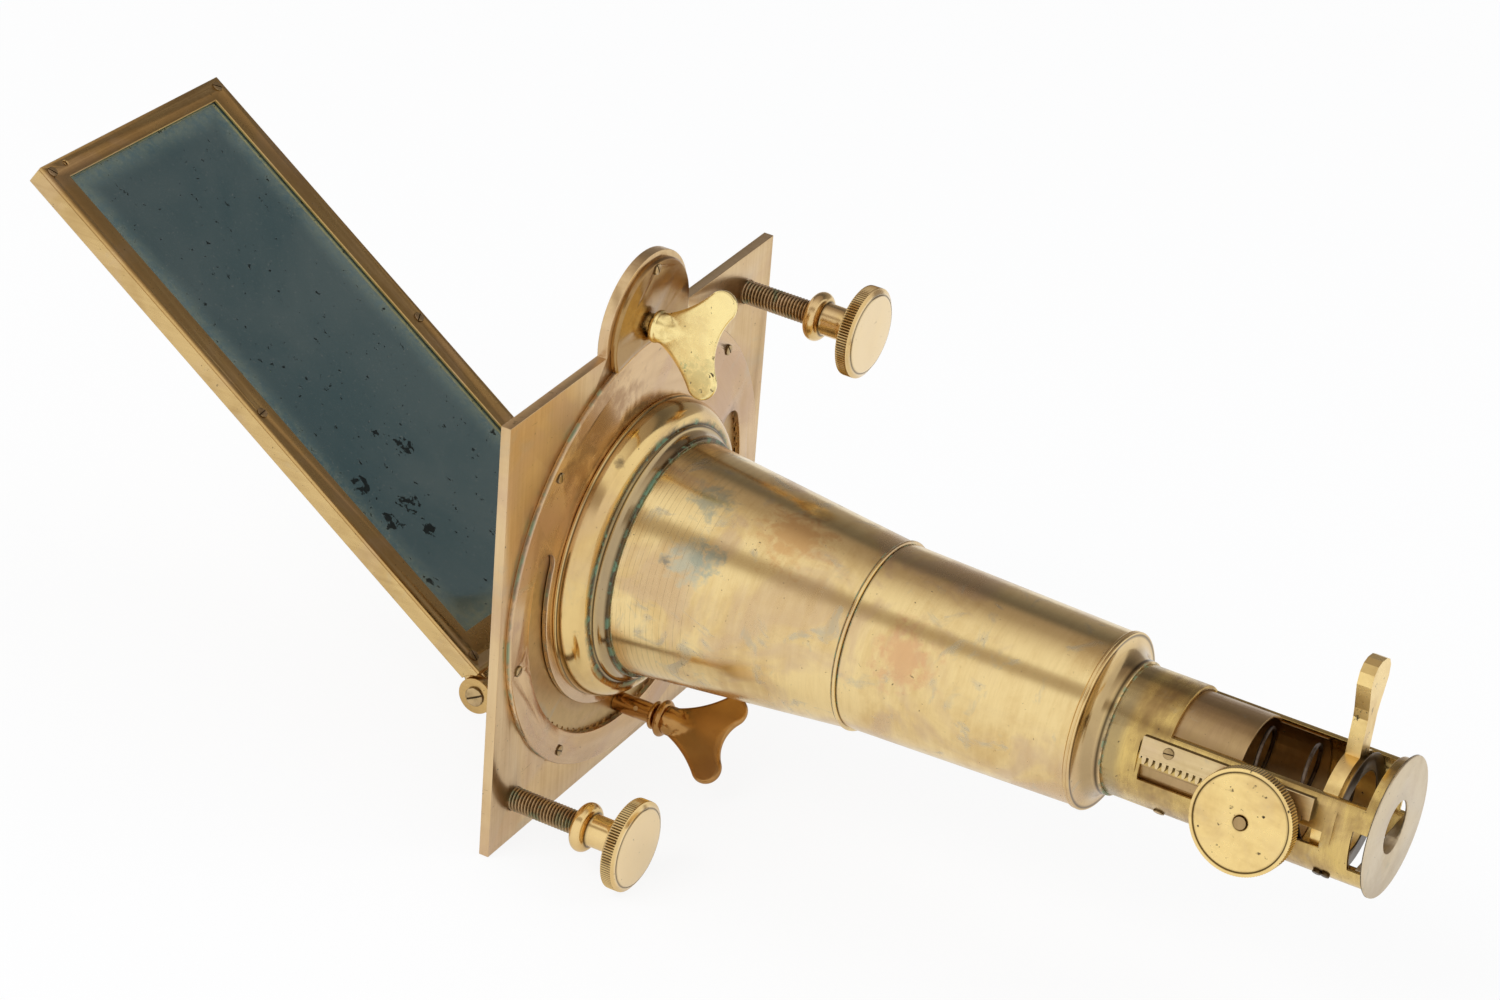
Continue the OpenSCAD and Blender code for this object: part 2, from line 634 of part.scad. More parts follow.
// Bracket with a foot on the rotor, a neck that widens towards the foot, and a round eye
module cock(s) difference() {
    on_rotor() {
        slab_y(min(s * cock_in, s * cock_out), max(s * cock_in, s * cock_out)) {
            translate([-hinge_back, -hinge_drop]) circle(eye_r);
            polygon([[-hinge_back, -hinge_drop - cock_neck], [-10.5, -hinge_drop - cock_neck],
                     [-6, -hinge_drop - 2.8], [foot_x, cock_foot_z[0]], [foot_x, cock_foot_z[1]],
                     [-6, -hinge_drop + cock_neck + 2.6], [-10.5, -hinge_drop + cock_neck],
                     [-hinge_back, -hinge_drop + cock_neck]]);
        }
        intersection() {
            block([foot_x, min(s * cock_foot_y, s * cock_out), cock_foot_z[0]],
                  [rotor_x0, max(s * cock_foot_y, s * cock_out), cock_foot_z[1]]);
            bar_x(foot_x - cut, rotor_x0 + cut, foot_limit_r);
        }
    }
    bar_x(foot_x - cut, rotor_x0 + cut, ring_r + 0.5);
    on_hinge() bar_y(-cock_out - cut, cock_out + cut, pivot_r);
    cock_screw_places() bar_x(-cut, foot_t + cut, shank_r + run);
}

module near_cock() color("sienna") cock(-1);
module far_cock() color("sienna") cock(1);
module cock_screws() color("khaki") cock_screw_places() screw(foot_t + thread_depth);

module pivot_screws() color("khaki") on_hinge() for (s = [0, 1]) mirror([0, s, 0]) {
    bar_y(ear_in, cock_out, pivot_r);
    bar_y(cock_out, cock_out + pivot_head_h, pivot_head_r);
}

// Foot, strip under the worm and rear bearing in one bent piece
module worm_yoke() color("sienna") difference() {
    on_worm() slab_y(-yoke_half, yoke_half) translate([0, worm_drop]) polygon([
        [rotor_x0, -worm_drop + 8], [rotor_x0, -yoke_floor - 0.6], [-0.4, -yoke_floor - 0.6],
        [-0.4, -yoke_floor - strip_t], [yoke_x, -yoke_floor - strip_t], [yoke_x, -worm_drop + 4],
        [yoke_x + yoke_t, -worm_drop + 4], [yoke_x + yoke_t, -yoke_floor], [foot_x - 4, -yoke_floor],
        [foot_x, -yoke_floor + 1], [foot_x, -worm_drop + 8]]);
    on_worm() bar_x(foot_x - cut, rotor_x0 + cut, shaft_r + run);
    on_worm() bar_x(yoke_x - cut, yoke_x + yoke_t + cut, journal_r + run);
    yoke_screw_places() bar_x(-cut, foot_t + cut, shank_r + run);
}

module yoke_screws() color("khaki") yoke_screw_places() screw(foot_t + thread_depth);

// Outline of a wing in X and Z: two round lobes, hollow sides and a hollow end, with its bead at x = 0
module wing_outline(half) {
    lobe = [wing_l - lobe_r, half - lobe_r];
    side = meet([1.8, wing_neck], side_r, lobe, side_r + lobe_r);
    end_x = (lobe * lobe - (lobe_r - notch_l) * (lobe_r - notch_l)) / (2 * (lobe[0] + lobe_r - notch_l));
    end = [end_x, 0];
    difference() {
        for (s = [0, 1]) mirror([0, s, 0]) {
            translate(lobe) circle(lobe_r);
            polygon([[1.8, 0], [1.8, wing_neck + 3], lobe + lobe_r * unit(side - lobe), lobe,
                     lobe + lobe_r * unit(end - lobe), [wing_l, 0]]);
        }
        for (s = [0, 1]) mirror([0, s, 0]) translate(side) circle(side_r);
        translate(end) circle(end_x - notch_l);
    }
}

// Flat wing with the swelling that joins it to its stem
module wing(x, half, angle) rotate([-angle, 0, 0]) translate([x, 0, 0]) {
    slab_y(-wing_t / 2, wing_t / 2) wing_outline(half);
    turned([[0, 0], [0, wing_neck - 0.2], [3, wing_neck - 0.3], [5.5, wing_neck - 1.4], [7.5, wing_t / 2],
            [9, 0]]);
}

module turn_key() color("gold") translate([0, 0, ear_height]) {
    bar_x(seat, pinion_x0, ear_journal_r);
    bar_x(pinion_x0, turn_bead_x, stem_r);
    bead(turn_bead_x, 4.8, 2.8);
    wing(turn_bead_x, turn_wing_half, turn_wing_angle);
}

module turn_pinion() color("darkkhaki") translate([0, 0, ear_height]) difference() {
    slab_x(pinion_x0, rotor_x1) polygon(gear_points(pinion_n, gear_m, -90 + 180 / pinion_n));
    bar_x(pinion_x0 - cut, rotor_x1 + cut, stem_r);
}

// Ridge of the worm along its helix, with a crest towards the wheel straight under the hinge
module worm_ridge() {
    steps = 24;
    rings = floor(steps * (worm_l - 1.2 * worm_pitch) / worm_pitch);
    loft([for (i = [0:rings]) let (turns = (i - rings / 2) / steps, a = 90 + 360 * turns)
        [for (q = rack_tooth(worm_m, worm_play, 1)) let (r = q[1] < 0 ? worm_core_r - 0.3 : worm_r + q[1])
            [q[0] + turns * worm_pitch - hinge_back, r * cos(a), r * sin(a)]]]);
}

module tilt_pin_place() on_worm() translate([tilt_pin_x, 0, 0]) rotate([-30, 0, 0]) children();

// Worm with its journals, a thrust collar behind the rotor and the spindle that the key is pinned on
module worm() color("tan") difference() {
    on_worm() {
        worm_ridge();
        translate([worm_x0, 0, 0]) rotate([0, 90, 0]) cylinder(r = worm_core_r, h = worm_l, $fn = 12);
        bar_x(yoke_x + seat, worm_x0, journal_r);
        bar_x(worm_x1, rotor_x1 + end_play, shaft_r);
        bar_x(foot_x - end_play - 2, foot_x - end_play, shaft_r + 1);
        bar_x(rotor_x1 + end_play, socket_end, spindle_r);
    }
    tilt_pin_place() bar_y(-stem_r, stem_r, tilt_pin_r);
}

module tilt_key() color("gold") difference() {
    on_worm() {
        bar_x(rotor_x1 + end_play, tilt_bead_x, stem_r);
        bead(tilt_bead_x - 2.9, 4.3, 2.2);
        bead(tilt_bead_x, 5.6, 3.4);
        wing(tilt_wing_x, tilt_wing_half, tilt_wing_angle + rotor_rest);
    }
    on_worm() bar_x(rotor_x1 - cut, socket_end, spindle_r);
    tilt_pin_place() bar_y(-stem_r - cut, stem_r + cut, tilt_pin_r);
}

module tilt_pin() color("khaki") tilt_pin_place() bar_y(-stem_r - 0.3, stem_r + 0.3, tilt_pin_r);

// Block of the mirror frame between two distances from the hinge and two heights above it
module frame_block(u0, u1, half, n0, n1) block([-u1, -half, n0], [-u0, half, n1]);

module bezel_screw_places() on_mirror()
    for (s = [-1, 1], u = [frame_end - frame_screw_in, (frame_start + frame_end) / 2 + 1, frame_start + 5])
        translate([-u, s * (frame_w / 2 - frame_screw_in), bezel_n + bezel_t]) rotate([0, 90, 0]) children();

module index_hole() translate([2.3 - frame_end, -frame_w / 2 + 9.6, 0]) cylinder(r = 0.8, h = 3 * tray_t);

module sector_screw_places() on_mirror() for (s = [-1, 1])
    translate([3 - sector_foot_l, s * 4, frame_n - sector_foot_t]) rotate([0, -90, 0]) children();

// Shallow tray with two ears for the hinge, hollowed round the cocks' eyes
module mirror_tray() color("darkgoldenrod") difference() {
    on_mirror() difference() {
        union() {
            difference() {
                frame_block(frame_start, frame_end, frame_w / 2, frame_n, bezel_n);
                bar_y(-frame_w, frame_w, relief_r);
            }
            for (s = [-1, 1]) slab_y(min(s * ear_in, s * ear_out), max(s * ear_in, s * ear_out)) {
                circle(tray_eye_r);
                polygon([[0, tray_eye_r], [-9, bezel_n], [-9, frame_n], [-3.2, -3]]);
            }
        }
        frame_block(frame_start + rail_near - glass_lip - seat, frame_end - rail_far + glass_lip + seat,
                    frame_w / 2 - rail_w + glass_lip + seat, glass_n, bezel_n + cut);
        bar_y(-ear_out - cut, ear_out + cut, pivot_r + run);
        index_hole();
    }
    bezel_screw_places() bar_x(0, bezel_t + 4, shank_r + run);
    sector_screw_places() bar_x(0, sector_foot_t + 1.4, shank_r + run);
}

module mirror_glass() color("steelblue") on_mirror()
    frame_block(frame_start + rail_near - glass_lip, frame_end - rail_far + glass_lip,
                frame_w / 2 - rail_w + glass_lip, glass_n, glass_n + glass_t);

module mirror_bezel() color("saddlebrown") difference() {
    on_mirror() difference() {
        frame_block(frame_start, frame_end, frame_w / 2, bezel_n, bezel_n + bezel_t);
        frame_block(frame_start + rail_near, frame_end - rail_far, frame_w / 2 - rail_w,
                    bezel_n - cut, bezel_n + bezel_t + cut);
        bar_y(-frame_w, frame_w, relief_r);
        index_hole();
    }
    bezel_screw_places() bar_x(-cut, bezel_t + cut, shank_r + run);
}

module bezel_screws() color("khaki") bezel_screw_places() screw(bezel_t + 3.5);

// Part of a worm wheel about the hinge, with a foot that is screwed under the mirror tray
module worm_sector() color("tan") {
    root = wheel_r - dedendum * worm_m;
    step = 360 / wheel_n;
    teeth = [for (k = [-3:5]) 90 + mirror_tilt + (k - 0.5) * step];
    a0 = teeth[0] - step / 2;
    a1 = teeth[len(teeth) - 1] + step / 2;
    flank = [root - 0.5, wheel_r, wheel_r + addendum * worm_m];
    half = [for (r = flank) r * sin(tooth_half(max(r, root), wheel_r, wheel_n, worm_play))];
    difference() {
        on_mirror() {
            slab_y(-sector_w / 2, sector_w / 2) intersection() {
                circle(root);
                polygon(concat([[-3, frame_n]],
                    [for (i = [0:6]) let (a = a0 + (a1 - a0) * i / 6) -polar(2 * root, a)]));
            }
            for (a = teeth) rotate([0, 90 - a, 0]) rotate([0, 0, worm_lead])
                slab_y(-sector_w / 2, sector_w / 2) polygon([for (s = [0:5])
                    let (j = s < 3 ? s : 5 - s) [(s < 3 ? -1 : 1) * half[j], -flank[j]]]);
            block([-sector_foot_l, -sector_w - 1.5, frame_n - sector_foot_t],
                  [-frame_start, sector_w + 1.5, frame_n]);
            block([-frame_start - 1, -sector_w / 2, frame_n - sector_foot_t], [-2, sector_w / 2, frame_n]);
        }
        sector_screw_places() bar_x(-cut, sector_foot_t + cut, shank_r + run);
    }
}

module sector_screws() color("khaki") sector_screw_places() screw(sector_foot_t + 1.3);

// Rod with a chamfered tip behind the plate, and a groove where the tip ends
module clamp_rod(s) color("tan") clamp_place_at(s)
    turned([[-rod_tip, 0], [-rod_tip, rod_r - rod_groove], [rod_groove - rod_tip, rod_r],
            [-rod_groove, rod_r], [-rod_groove, rod_r - rod_groove], [0, rod_r - rod_groove], [0, rod_r],
            [clamp_collar_x + clamp_socket, rod_r], [clamp_collar_x + clamp_socket, 0]]);

// Bead, neck and knurled disc, bored for the end of its rod
module clamp_head(s) color("gold") clamp_place_at(s) {
    neck_r = rod_r + 1.2;
    difference() {
        turned(concat(
            [[clamp_collar_x, 0]], arc(clamp_collar_x + 1.8, rod_r + 1, 1.8, -90, 90, 8),
            [[clamp_collar_x + 4.2, rod_r + 0.8], [clamp_disc_x - 4, neck_r]],
            arc(clamp_disc_x - 4, neck_r + 3.4, 3.4, 180, 90, 5),
            [[clamp_disc_x, head_r - 1.2], [clamp_disc_x + 0.6, head_r - knurl_step],
             [clamp_disc_x + 0.6, 0]]));
        bar_x(clamp_collar_x - cut, clamp_collar_x + clamp_socket + seat, rod_r + run);
    }
    knurled(clamp_disc_x + 0.6, clamp_x1 - 1, head_r, clamp_ridges);
    turned([[clamp_x1 - 1, 0], [clamp_x1 - 1, head_r - knurl_step], [clamp_x1 - 0.3, head_r - 1.2],
            [clamp_x1, head_r - 2], [clamp_x1, 0]]);
}

module upper_clamp_rod() clamp_rod(1);
module upper_clamp_head() clamp_head(1);
module lower_clamp_rod() clamp_rod(-1);
module lower_clamp_head() clamp_head(-1);

// Tube that slides in the sleeve: round behind, and a trough with the pinion's bearing in front
module focus_tube() color("sienna") difference() {
    turned([[tube_back, tube_in], [tube_back, tube_r], [trough_x1, tube_r], [trough_x1, tube_in],
            [field_x, tube_in], [field_x, tube_in - 1.5], [field_x - 2, tube_in - 1.5],
            [field_x - 2, tube_in]]);
    block([tube_front, -2 * tube_r, trough_z], [trough_x1 + cut, 2 * tube_r, 2 * tube_r]);
    on_rack() translate([focus_x, 0, focus_z]) bar_y(-2 * tube_r, 0, focus_shaft_r + run);
}

module field_lens() color("lightblue", 0.5) lens(field_x + field_gap, tube_in, field_edge, field_bulge);

module field_ring() color("goldenrod")
    turned([[field_ring_x, tube_in - 2], [field_ring_x, tube_in], [field_ring_x + field_ring_t, tube_in],
            [field_ring_x + field_ring_t, field_r], [field_ring_x + field_ring_t - 0.8, field_r]]);

// Boss on the near cheek that stands in the sleeve's window
module pinion_bearing() color("sienna") on_rack() difference() {
    translate([0, 0, focus_z]) slab_y(-flat_y, -tube_in) {
        translate([focus_x, 0]) square([4, window_h - 0.6], center = true);
        for (s = [-1, 1]) translate([focus_x + 2 * s, 0]) circle(window_h / 2 - 0.3);
    }
    bar_x(0, 2 * focus_x, tube_r);
    translate([focus_x, 0, focus_z]) bar_y(-2 * tube_r, 0, focus_shaft_r + run);
}

module focus_pinion() color("tan") on_rack() translate([focus_x, 0, focus_z]) {
    slab_y(-rack_out, -pinion_back) polygon(gear_points(focus_n, rack_m, 90));
    bar_y(-knob_back - knob_l - 0.3, -rivet_in, focus_shaft_r);
    bar_y(-rivet_out, -rivet_in, rivet_r);
    bar_y(-knob_back, -rack_out, focus_shaft_r + 0.8);
}

module focus_knob() color("gold") on_rack() translate([focus_x, 0, focus_z]) rotate([0, 0, -90])
difference() {
    front = knob_back + knob_l;
    union() {
        turned([[knob_back, 0], [knob_back, knob_r - 2], [knob_back + 0.7, knob_r - knurl_step],
                [knob_back + 0.7, 0]]);
        knurled(knob_back + 0.7, front - 1.2, knob_r, knob_ridges);
        turned([[front - 1.2, 0], [front - 1.2, knob_r - knurl_step], [front, knob_r - 1.9], [front, 0]]);
    }
    bar_x(knob_back - cut, front + cut, focus_shaft_r);
}

// Round plate in the sleeve with a lever that stands up through the open top
module pressure_plate() color("gold") difference() {
    lever = [[neck_half, 0], [neck_half, lever_top - 17], [neck_half + 0.6, lever_top - 14],
             [paddle_half - 1, lever_top - 10], [paddle_half, lever_top - 6.5],
             [paddle_half - 0.4, lever_top - 3], [paddle_half - 2, lever_top - 0.9], [1.6, lever_top]];
    union() {
        bar_x(press_x - press_t, press_x, press_r);
        bar_x(press_x - cut, press_x + stage_gap, stage_hub_r);
        rotate([-lever_lean, 0, 0]) slab_x(press_x - press_t, press_x)
            polygon(concat(lever, [for (i = [len(lever) - 1:-1:0]) [-lever[i][0], lever[i][1]]]));
    }
    bar_x(press_x - press_t - cut, press_x + stage_gap + cut, stage_bore);
}

module stage_disc() color("dimgray")
    turned([[press_x + stage_gap, stage_bore], [press_x + stage_gap, press_r],
            [press_x + stage_gap + stage_disc_t, press_r], [press_x + stage_gap + stage_disc_t, stage_bore]]);

// Middle line of the spring, as place and angle: straight ends along the axis, and even turns between them
spring_steps = 8;
spring_rings = spring_steps * spring_turns;
spring_line = concat(
    [[spring_x0, 0]],
    [for (i = [0:spring_rings])
        [spring_x0 + 2 * wire_r + (spring_x1 - spring_x0 - 4 * wire_r) * i / spring_rings,
         360 * i / spring_steps]],
    [[spring_x1, 360 * spring_turns]]);
spring_path = [for (q = spring_line) [q[0], spring_r * cos(q[1]), spring_r * sin(q[1])]];
echo(least_gap_of_stage_spring = min([for (i = [0:len(spring_path) - 7], j = [i + 6:len(spring_path) - 1])
    norm(spring_path[i] - spring_path[j])]) - 2 * wire_r);

module stage_spring() color("dimgray") {
    last = len(spring_path) - 1;
    loft([for (i = [0:last])
        let (before = unit(spring_path[max(i, 1)] - spring_path[max(i, 1) - 1]),
             after = unit(spring_path[min(i, last - 1) + 1] - spring_path[min(i, last - 1)]),
             t = unit(before + after), out = [0, cos(spring_line[i][1]), sin(spring_line[i][1])],
             n = unit(out - (out * t) * t), b = cross(n, t))
        [for (a = [0:60:300]) spring_path[i] + wire_r * (cos(a) * n + sin(a) * b)]]);
}

shutter_plate();
front_disc();
ear_cover();
cover_screws();
retaining_ring();
ring_screws();
base_moulding();
condenser_lens();
condenser_ring();
lower_tube();
upper_tube();
tube_cap();
nose_sleeve();
sleeve_screw();
sleeve_stud();
rack_bar();
rack_screws();
end_disc();
rotor();
near_cock();
far_cock();
cock_screws();
pivot_screws();
worm_yoke();
yoke_screws();
turn_key();
turn_pinion();
worm();
tilt_key();
tilt_pin();
mirror_tray();
mirror_glass();
mirror_bezel();
bezel_screws();
worm_sector();
sector_screws();
upper_clamp_rod();
upper_clamp_head();
lower_clamp_rod();
lower_clamp_head();
focus_tube();
field_lens();
field_ring();
pinion_bearing();
focus_pinion();
focus_knob();
pressure_plate();
stage_disc();
stage_spring();
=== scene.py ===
import json

import bmesh
import bpy
import numpy as np
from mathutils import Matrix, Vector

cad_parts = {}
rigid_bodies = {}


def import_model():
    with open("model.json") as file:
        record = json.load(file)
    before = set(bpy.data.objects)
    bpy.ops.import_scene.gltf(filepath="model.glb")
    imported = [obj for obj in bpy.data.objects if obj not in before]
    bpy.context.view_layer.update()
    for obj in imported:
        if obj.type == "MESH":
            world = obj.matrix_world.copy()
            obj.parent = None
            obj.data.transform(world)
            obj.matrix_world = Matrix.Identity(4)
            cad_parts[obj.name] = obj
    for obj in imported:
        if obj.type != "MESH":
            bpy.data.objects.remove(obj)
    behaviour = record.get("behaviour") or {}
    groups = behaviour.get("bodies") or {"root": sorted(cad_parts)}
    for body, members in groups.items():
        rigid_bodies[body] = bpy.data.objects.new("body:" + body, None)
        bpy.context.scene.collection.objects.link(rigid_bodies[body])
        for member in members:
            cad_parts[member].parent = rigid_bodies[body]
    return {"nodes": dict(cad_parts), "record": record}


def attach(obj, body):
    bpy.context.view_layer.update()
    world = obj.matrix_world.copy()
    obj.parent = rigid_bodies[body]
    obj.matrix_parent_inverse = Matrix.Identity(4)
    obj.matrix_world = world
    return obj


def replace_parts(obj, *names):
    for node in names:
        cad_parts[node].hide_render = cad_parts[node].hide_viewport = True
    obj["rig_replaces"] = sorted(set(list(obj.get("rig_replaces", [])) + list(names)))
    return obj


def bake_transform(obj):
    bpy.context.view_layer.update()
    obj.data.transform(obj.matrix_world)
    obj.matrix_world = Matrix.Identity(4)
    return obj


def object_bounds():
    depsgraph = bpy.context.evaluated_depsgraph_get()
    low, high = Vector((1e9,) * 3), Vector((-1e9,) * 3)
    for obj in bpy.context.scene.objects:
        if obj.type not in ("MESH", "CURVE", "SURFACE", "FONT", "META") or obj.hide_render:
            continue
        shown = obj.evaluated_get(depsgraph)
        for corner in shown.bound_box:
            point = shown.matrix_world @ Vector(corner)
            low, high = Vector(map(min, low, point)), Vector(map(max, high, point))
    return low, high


# Brass solar microscope on white paper. Sizes are in millimetres here and become metres in the meshes.
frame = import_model()
cadLow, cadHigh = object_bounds()
nodes = frame["nodes"]
bodyOf = {node: body for body, held in frame["record"]["behaviour"]["bodies"].items() for node in held}
slotOf = {part["node"]: part["material_slot"] for part in frame["record"]["subparts"]}
mm = 0.001
joinWithin = {"made": 2e-6, "cad": 1e-6}  # points of a mesh that are closer than this, in metres, are one
print("frame loaded,", len(nodes), "nodes")


# Points of a grid: x, y and z, and how much grime and painted shade lie there from 0 to 1
def columns(x, y, z, grime=0.0):
    return np.stack(np.broadcast_arrays(x, y, z, grime), axis=-1)


# Quads between neighbouring points of a grid, as indices into the flattened grid
def gridFaces(rows, cols, first=0):
    i, j = np.meshgrid(np.arange(rows - 1), np.arange(cols - 1), indexing="ij")
    a = (i * cols + j).ravel() + first
    return np.stack([a, a + 1, a + cols + 1, a + cols], axis=1).tolist()


# Puts a finished mesh into the scene and on its body, in place of the nodes it stands for. A piece given
# no body here stays without one.
def settle(piece, body, replaced):
    bpy.context.scene.collection.objects.link(piece)
    if body:
        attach(piece, body)
    if replaced:
        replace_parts(piece, *replaced)
    return piece


# A mesh from grids: doubles are merged, so seams and poles close, and faces turn outwards
def meshPiece(name, grids, body, replaced=(), smoothAngle=35):
    verts, faces = [], []
    for grid in grids:
        faces += gridFaces(grid.shape[0], grid.shape[1], sum(len(v) for v in verts))
        verts.append(grid.reshape(-1, 4))
    points = np.concatenate(verts)
    mesh = bpy.data.meshes.new(name)
    mesh.from_pydata((points[:, :3] * mm).tolist(), [], faces)
    grime = mesh.attributes.new("grime", "FLOAT", "POINT")
    grime.data.foreach_set("value", points[:, 3].astype(np.float32))
    work = bmesh.new()
    work.from_mesh(mesh)
    bmesh.ops.remove_doubles(work, verts=work.verts, dist=joinWithin["made"])
    bmesh.ops.dissolve_degenerate(work, edges=work.edges, dist=joinWithin["cad"])
    bmesh.ops.recalc_face_normals(work, faces=work.faces)
    work.to_mesh(mesh)
    work.free()
    mesh.polygons.foreach_set("use_smooth", [True] * len(mesh.polygons))
    mesh.set_sharp_from_angle(angle=np.radians(smoothAngle))
    return settle(bpy.data.objects.new(name, mesh), body, replaced)


# 4 x 4 matrices: a turn about one axis by an angle in degrees, and a shift
def turn(axis, degrees):
    c, s = np.cos(np.radians(degrees)), np.sin(np.radians(degrees))
    i, j = [(1, 2), (2, 0), (0, 1)]["xyz".index(axis)]
    matrix = np.eye(4)
    matrix[i, i] = matrix[j, j] = c
    matrix[i, j], matrix[j, i] = -s, s
    return matrix


def shift(x, y, z):
    matrix = np.eye(4)
    matrix[:3, 3] = x, y, z
    return matrix


# A grid moved by a matrix, with its grime and painted shade
def moved(matrix, grid):
    return np.concatenate([grid[..., :3] @ matrix[:3, :3].T + matrix[:3, 3], grid[..., 3:]], axis=-1)


# Arc in a turned profile: place x + r sin(a), radius centre + r cos(a)
def arc(x, centre, r, a0, a1, steps=12):
    a = np.radians(np.linspace(a0, a1, steps))
    return np.stack([x + r * np.sin(a), centre + r * np.cos(a)], axis=1)


# Quarter ellipses in a turned profile: a round has place x + long sin(t) and radius r + high cos(t), and a
# hollow has place x + long (1 - cos(t)) and radius r - deep sin(t)
def quarterRound(x, r, long, high, steps):
    t = np.linspace(0, np.pi / 2, steps)
    return np.stack([x + long * np.sin(t), r + high * np.cos(t)], axis=1)


def quarterHollow(x, r, long, deep, steps):
    t = np.linspace(0, np.pi / 2, steps)
    return np.stack([x + long * (1 - np.cos(t)), r - deep * np.sin(t)], axis=1)


# A profile whose long stretches have a point near each end, so that grime, painted shade and smooth shading
# stay at the corners. No such point lies further in than a share of its stretch, and short stretches have
# none.
def tightened(profile, near=0.5, share=0.4, longEnough=2.5):
    p = np.asarray(profile, float)
    step = p[1:] - p[:-1]
    length = np.linalg.norm(step, axis=1)[:, None]
    part = step * np.minimum(near / np.maximum(length, 1e-9), share)
    rows = np.stack([p[:-1], p[:-1] + part, p[1:] - part], axis=1).reshape(-1, 2)
    keep = np.repeat(length[:, 0] > longEnough * near, 3)
    keep[::3] = True
    return np.vstack([rows[keep], p[-1:]])


# Profile of place and radius carried round the X axis. A ripple may cut in by a depth that varies with place,
# radius and angle, with grime and painted shade in its grooves. Dirt and shade corners are (place, radius,
# reach): grime and painted shade there are full less distance / reach from that corner, held between 0 and 1.
def turnedGrid(profile, segments=160, ripple=None, matrix=np.eye(4), dirtAndShade=(), full=1.2):
    q = tightened(profile)
    a = np.linspace(0, 2 * np.pi, segments + 1)
    x, r = q[:, 0:1], q[:, 1:2] * np.ones_like(a)
    grime = 0.0 * r
    for place, radius, reach in dirtAndShade:
        away = np.hypot(x - place, q[:, 1:2] - radius)
        grime = np.maximum(grime, np.clip(full - away / reach, 0, 1))
    if ripple:
        cut = ripple(x, q[:, 1:2], a)
        r = r - cut
        # knurl grooves darken with grime and painted shade, in step with how deep they are cut
        grime = np.maximum(grime, cut / cut.max())
    return moved(matrix, columns(x, r * np.cos(a), r * np.sin(a), grime))


# Where the moving groups stand at rest, as the CAD has them
onRotor = turn("x", -3.0)
onHinge = onRotor @ shift(-19.0, 0.0, -39.5)
onMirror = onHinge @ turn("y", 34.0)
onWorm = onRotor @ shift(0.0, 0.0, -52.5)
onRack = turn("x", -15.0)
focusShaft = onRack @ shift(209.0, 0.0, -4.3155) @ turn("z", -90.0)

# The turned pieces that follow have closed profiles of (place, radius), outside first and bore after
bodySides = 224

# Moulding: a thin ring, a round, a fillet, a hollow and the lip at the tube
moulding = {
    "ring": [[4.7, 33.1], [4.7, 44.7], [4.85, 45.05], [5.1, 45.15], [5.6, 45.15], [5.85, 45.0],
             [5.95, 44.85]],
    "round": {"x": 6.1, "r": 39.3, "long": 6.6, "high": 5.6, "steps": 30},
    "fillet": [[12.75, 39.0], [12.85, 38.75], [13.3, 38.6], [13.5, 38.45]],
    "hollow": {"x": 13.6, "r": 38.3, "long": 3.2, "deep": 2.4, "steps": 30},
    "lip": [[17.05, 35.85], [17.25, 35.7], [17.3, 35.4], [17.3, 34.9]],
    "bore": [[13.3, 34.9], [13.3, 33.1], [4.7, 33.1]],
    "dirtAndShade": ((5.95, 44.85, 0.3), (12.8, 38.9, 0.7), (13.6, 38.3, 0.4), (16.95, 35.9, 1.1), (17.3, 35.2, 0.8))}
mouldingProfile = np.vstack([
    moulding["ring"], quarterRound(**moulding["round"]), moulding["fillet"],
    quarterHollow(**moulding["hollow"]), moulding["lip"], moulding["bore"]])

# Lower tube: it falls evenly from its foot to a rolled lip at the joint
lowerTube = {
    "foot": [[13.3, 33.6], [13.3, 34.9], [17.3, 34.9], [39.542, 32.491], [61.784, 30.082], [84.7, 27.6]],
    "lip": (85.25, 27.62, 0.5, -80, 80, 9), "bore": [[85.8, 27.5], [85.8, 26.3], [17.3, 33.6], [13.3, 33.6]],
    "dirtAndShade": ((84.7, 27.62, 0.25),)}
lowerProfile = np.vstack([lowerTube["foot"], arc(*lowerTube["lip"]), lowerTube["bore"]])

# Upper tube: a spigot that goes into the lower tube, and a slow taper
upperTube = {
    "profile": [[79.8, 25.2], [79.8, 26.2], [85.8, 26.2], [85.82, 27.05], [86.0, 27.2], [120.0, 26.2],
                [155.3, 25.22], [155.5, 25.0], [155.5, 23.9], [85.8, 25.2], [79.8, 25.2]],
    "dirtAndShade": ((85.85, 27.1, 0.3),)}

# Cap: plug, flat bead with two lips, hollow shoulder and the collar round the sleeve
cap = {
    "plug": [[154.0, 18.7], [154.0, 22.5], [151.5, 22.5], [151.5, 23.8], [155.5, 23.8], [155.5, 25.3]],
    "rearLip": (155.95, 25.35, 0.42, -85, 60, 7), "bead": [[156.4, 25.55], [156.75, 25.72]],
    "frontLip": (156.95, 25.4, 0.42, -20, 85, 7), "step": [[157.4, 25.0]],
    "shoulder": {"x": 157.4, "r": 24.7, "long": 4.9, "deep": 5.15, "steps": 18},
    "collar": [[162.6, 19.45], [163.3, 19.4], [163.5, 19.2], [163.5, 18.7], [154.0, 18.7]],
    "dirtAndShade": ((157.4, 24.9, 0.35), (162.4, 19.5, 0.7))}
capProfile = np.vstack([
    cap["plug"], arc(*cap["rearLip"]), cap["bead"], arc(*cap["frontLip"]), cap["step"],
    quarterHollow(**cap["shoulder"]), cap["collar"]])
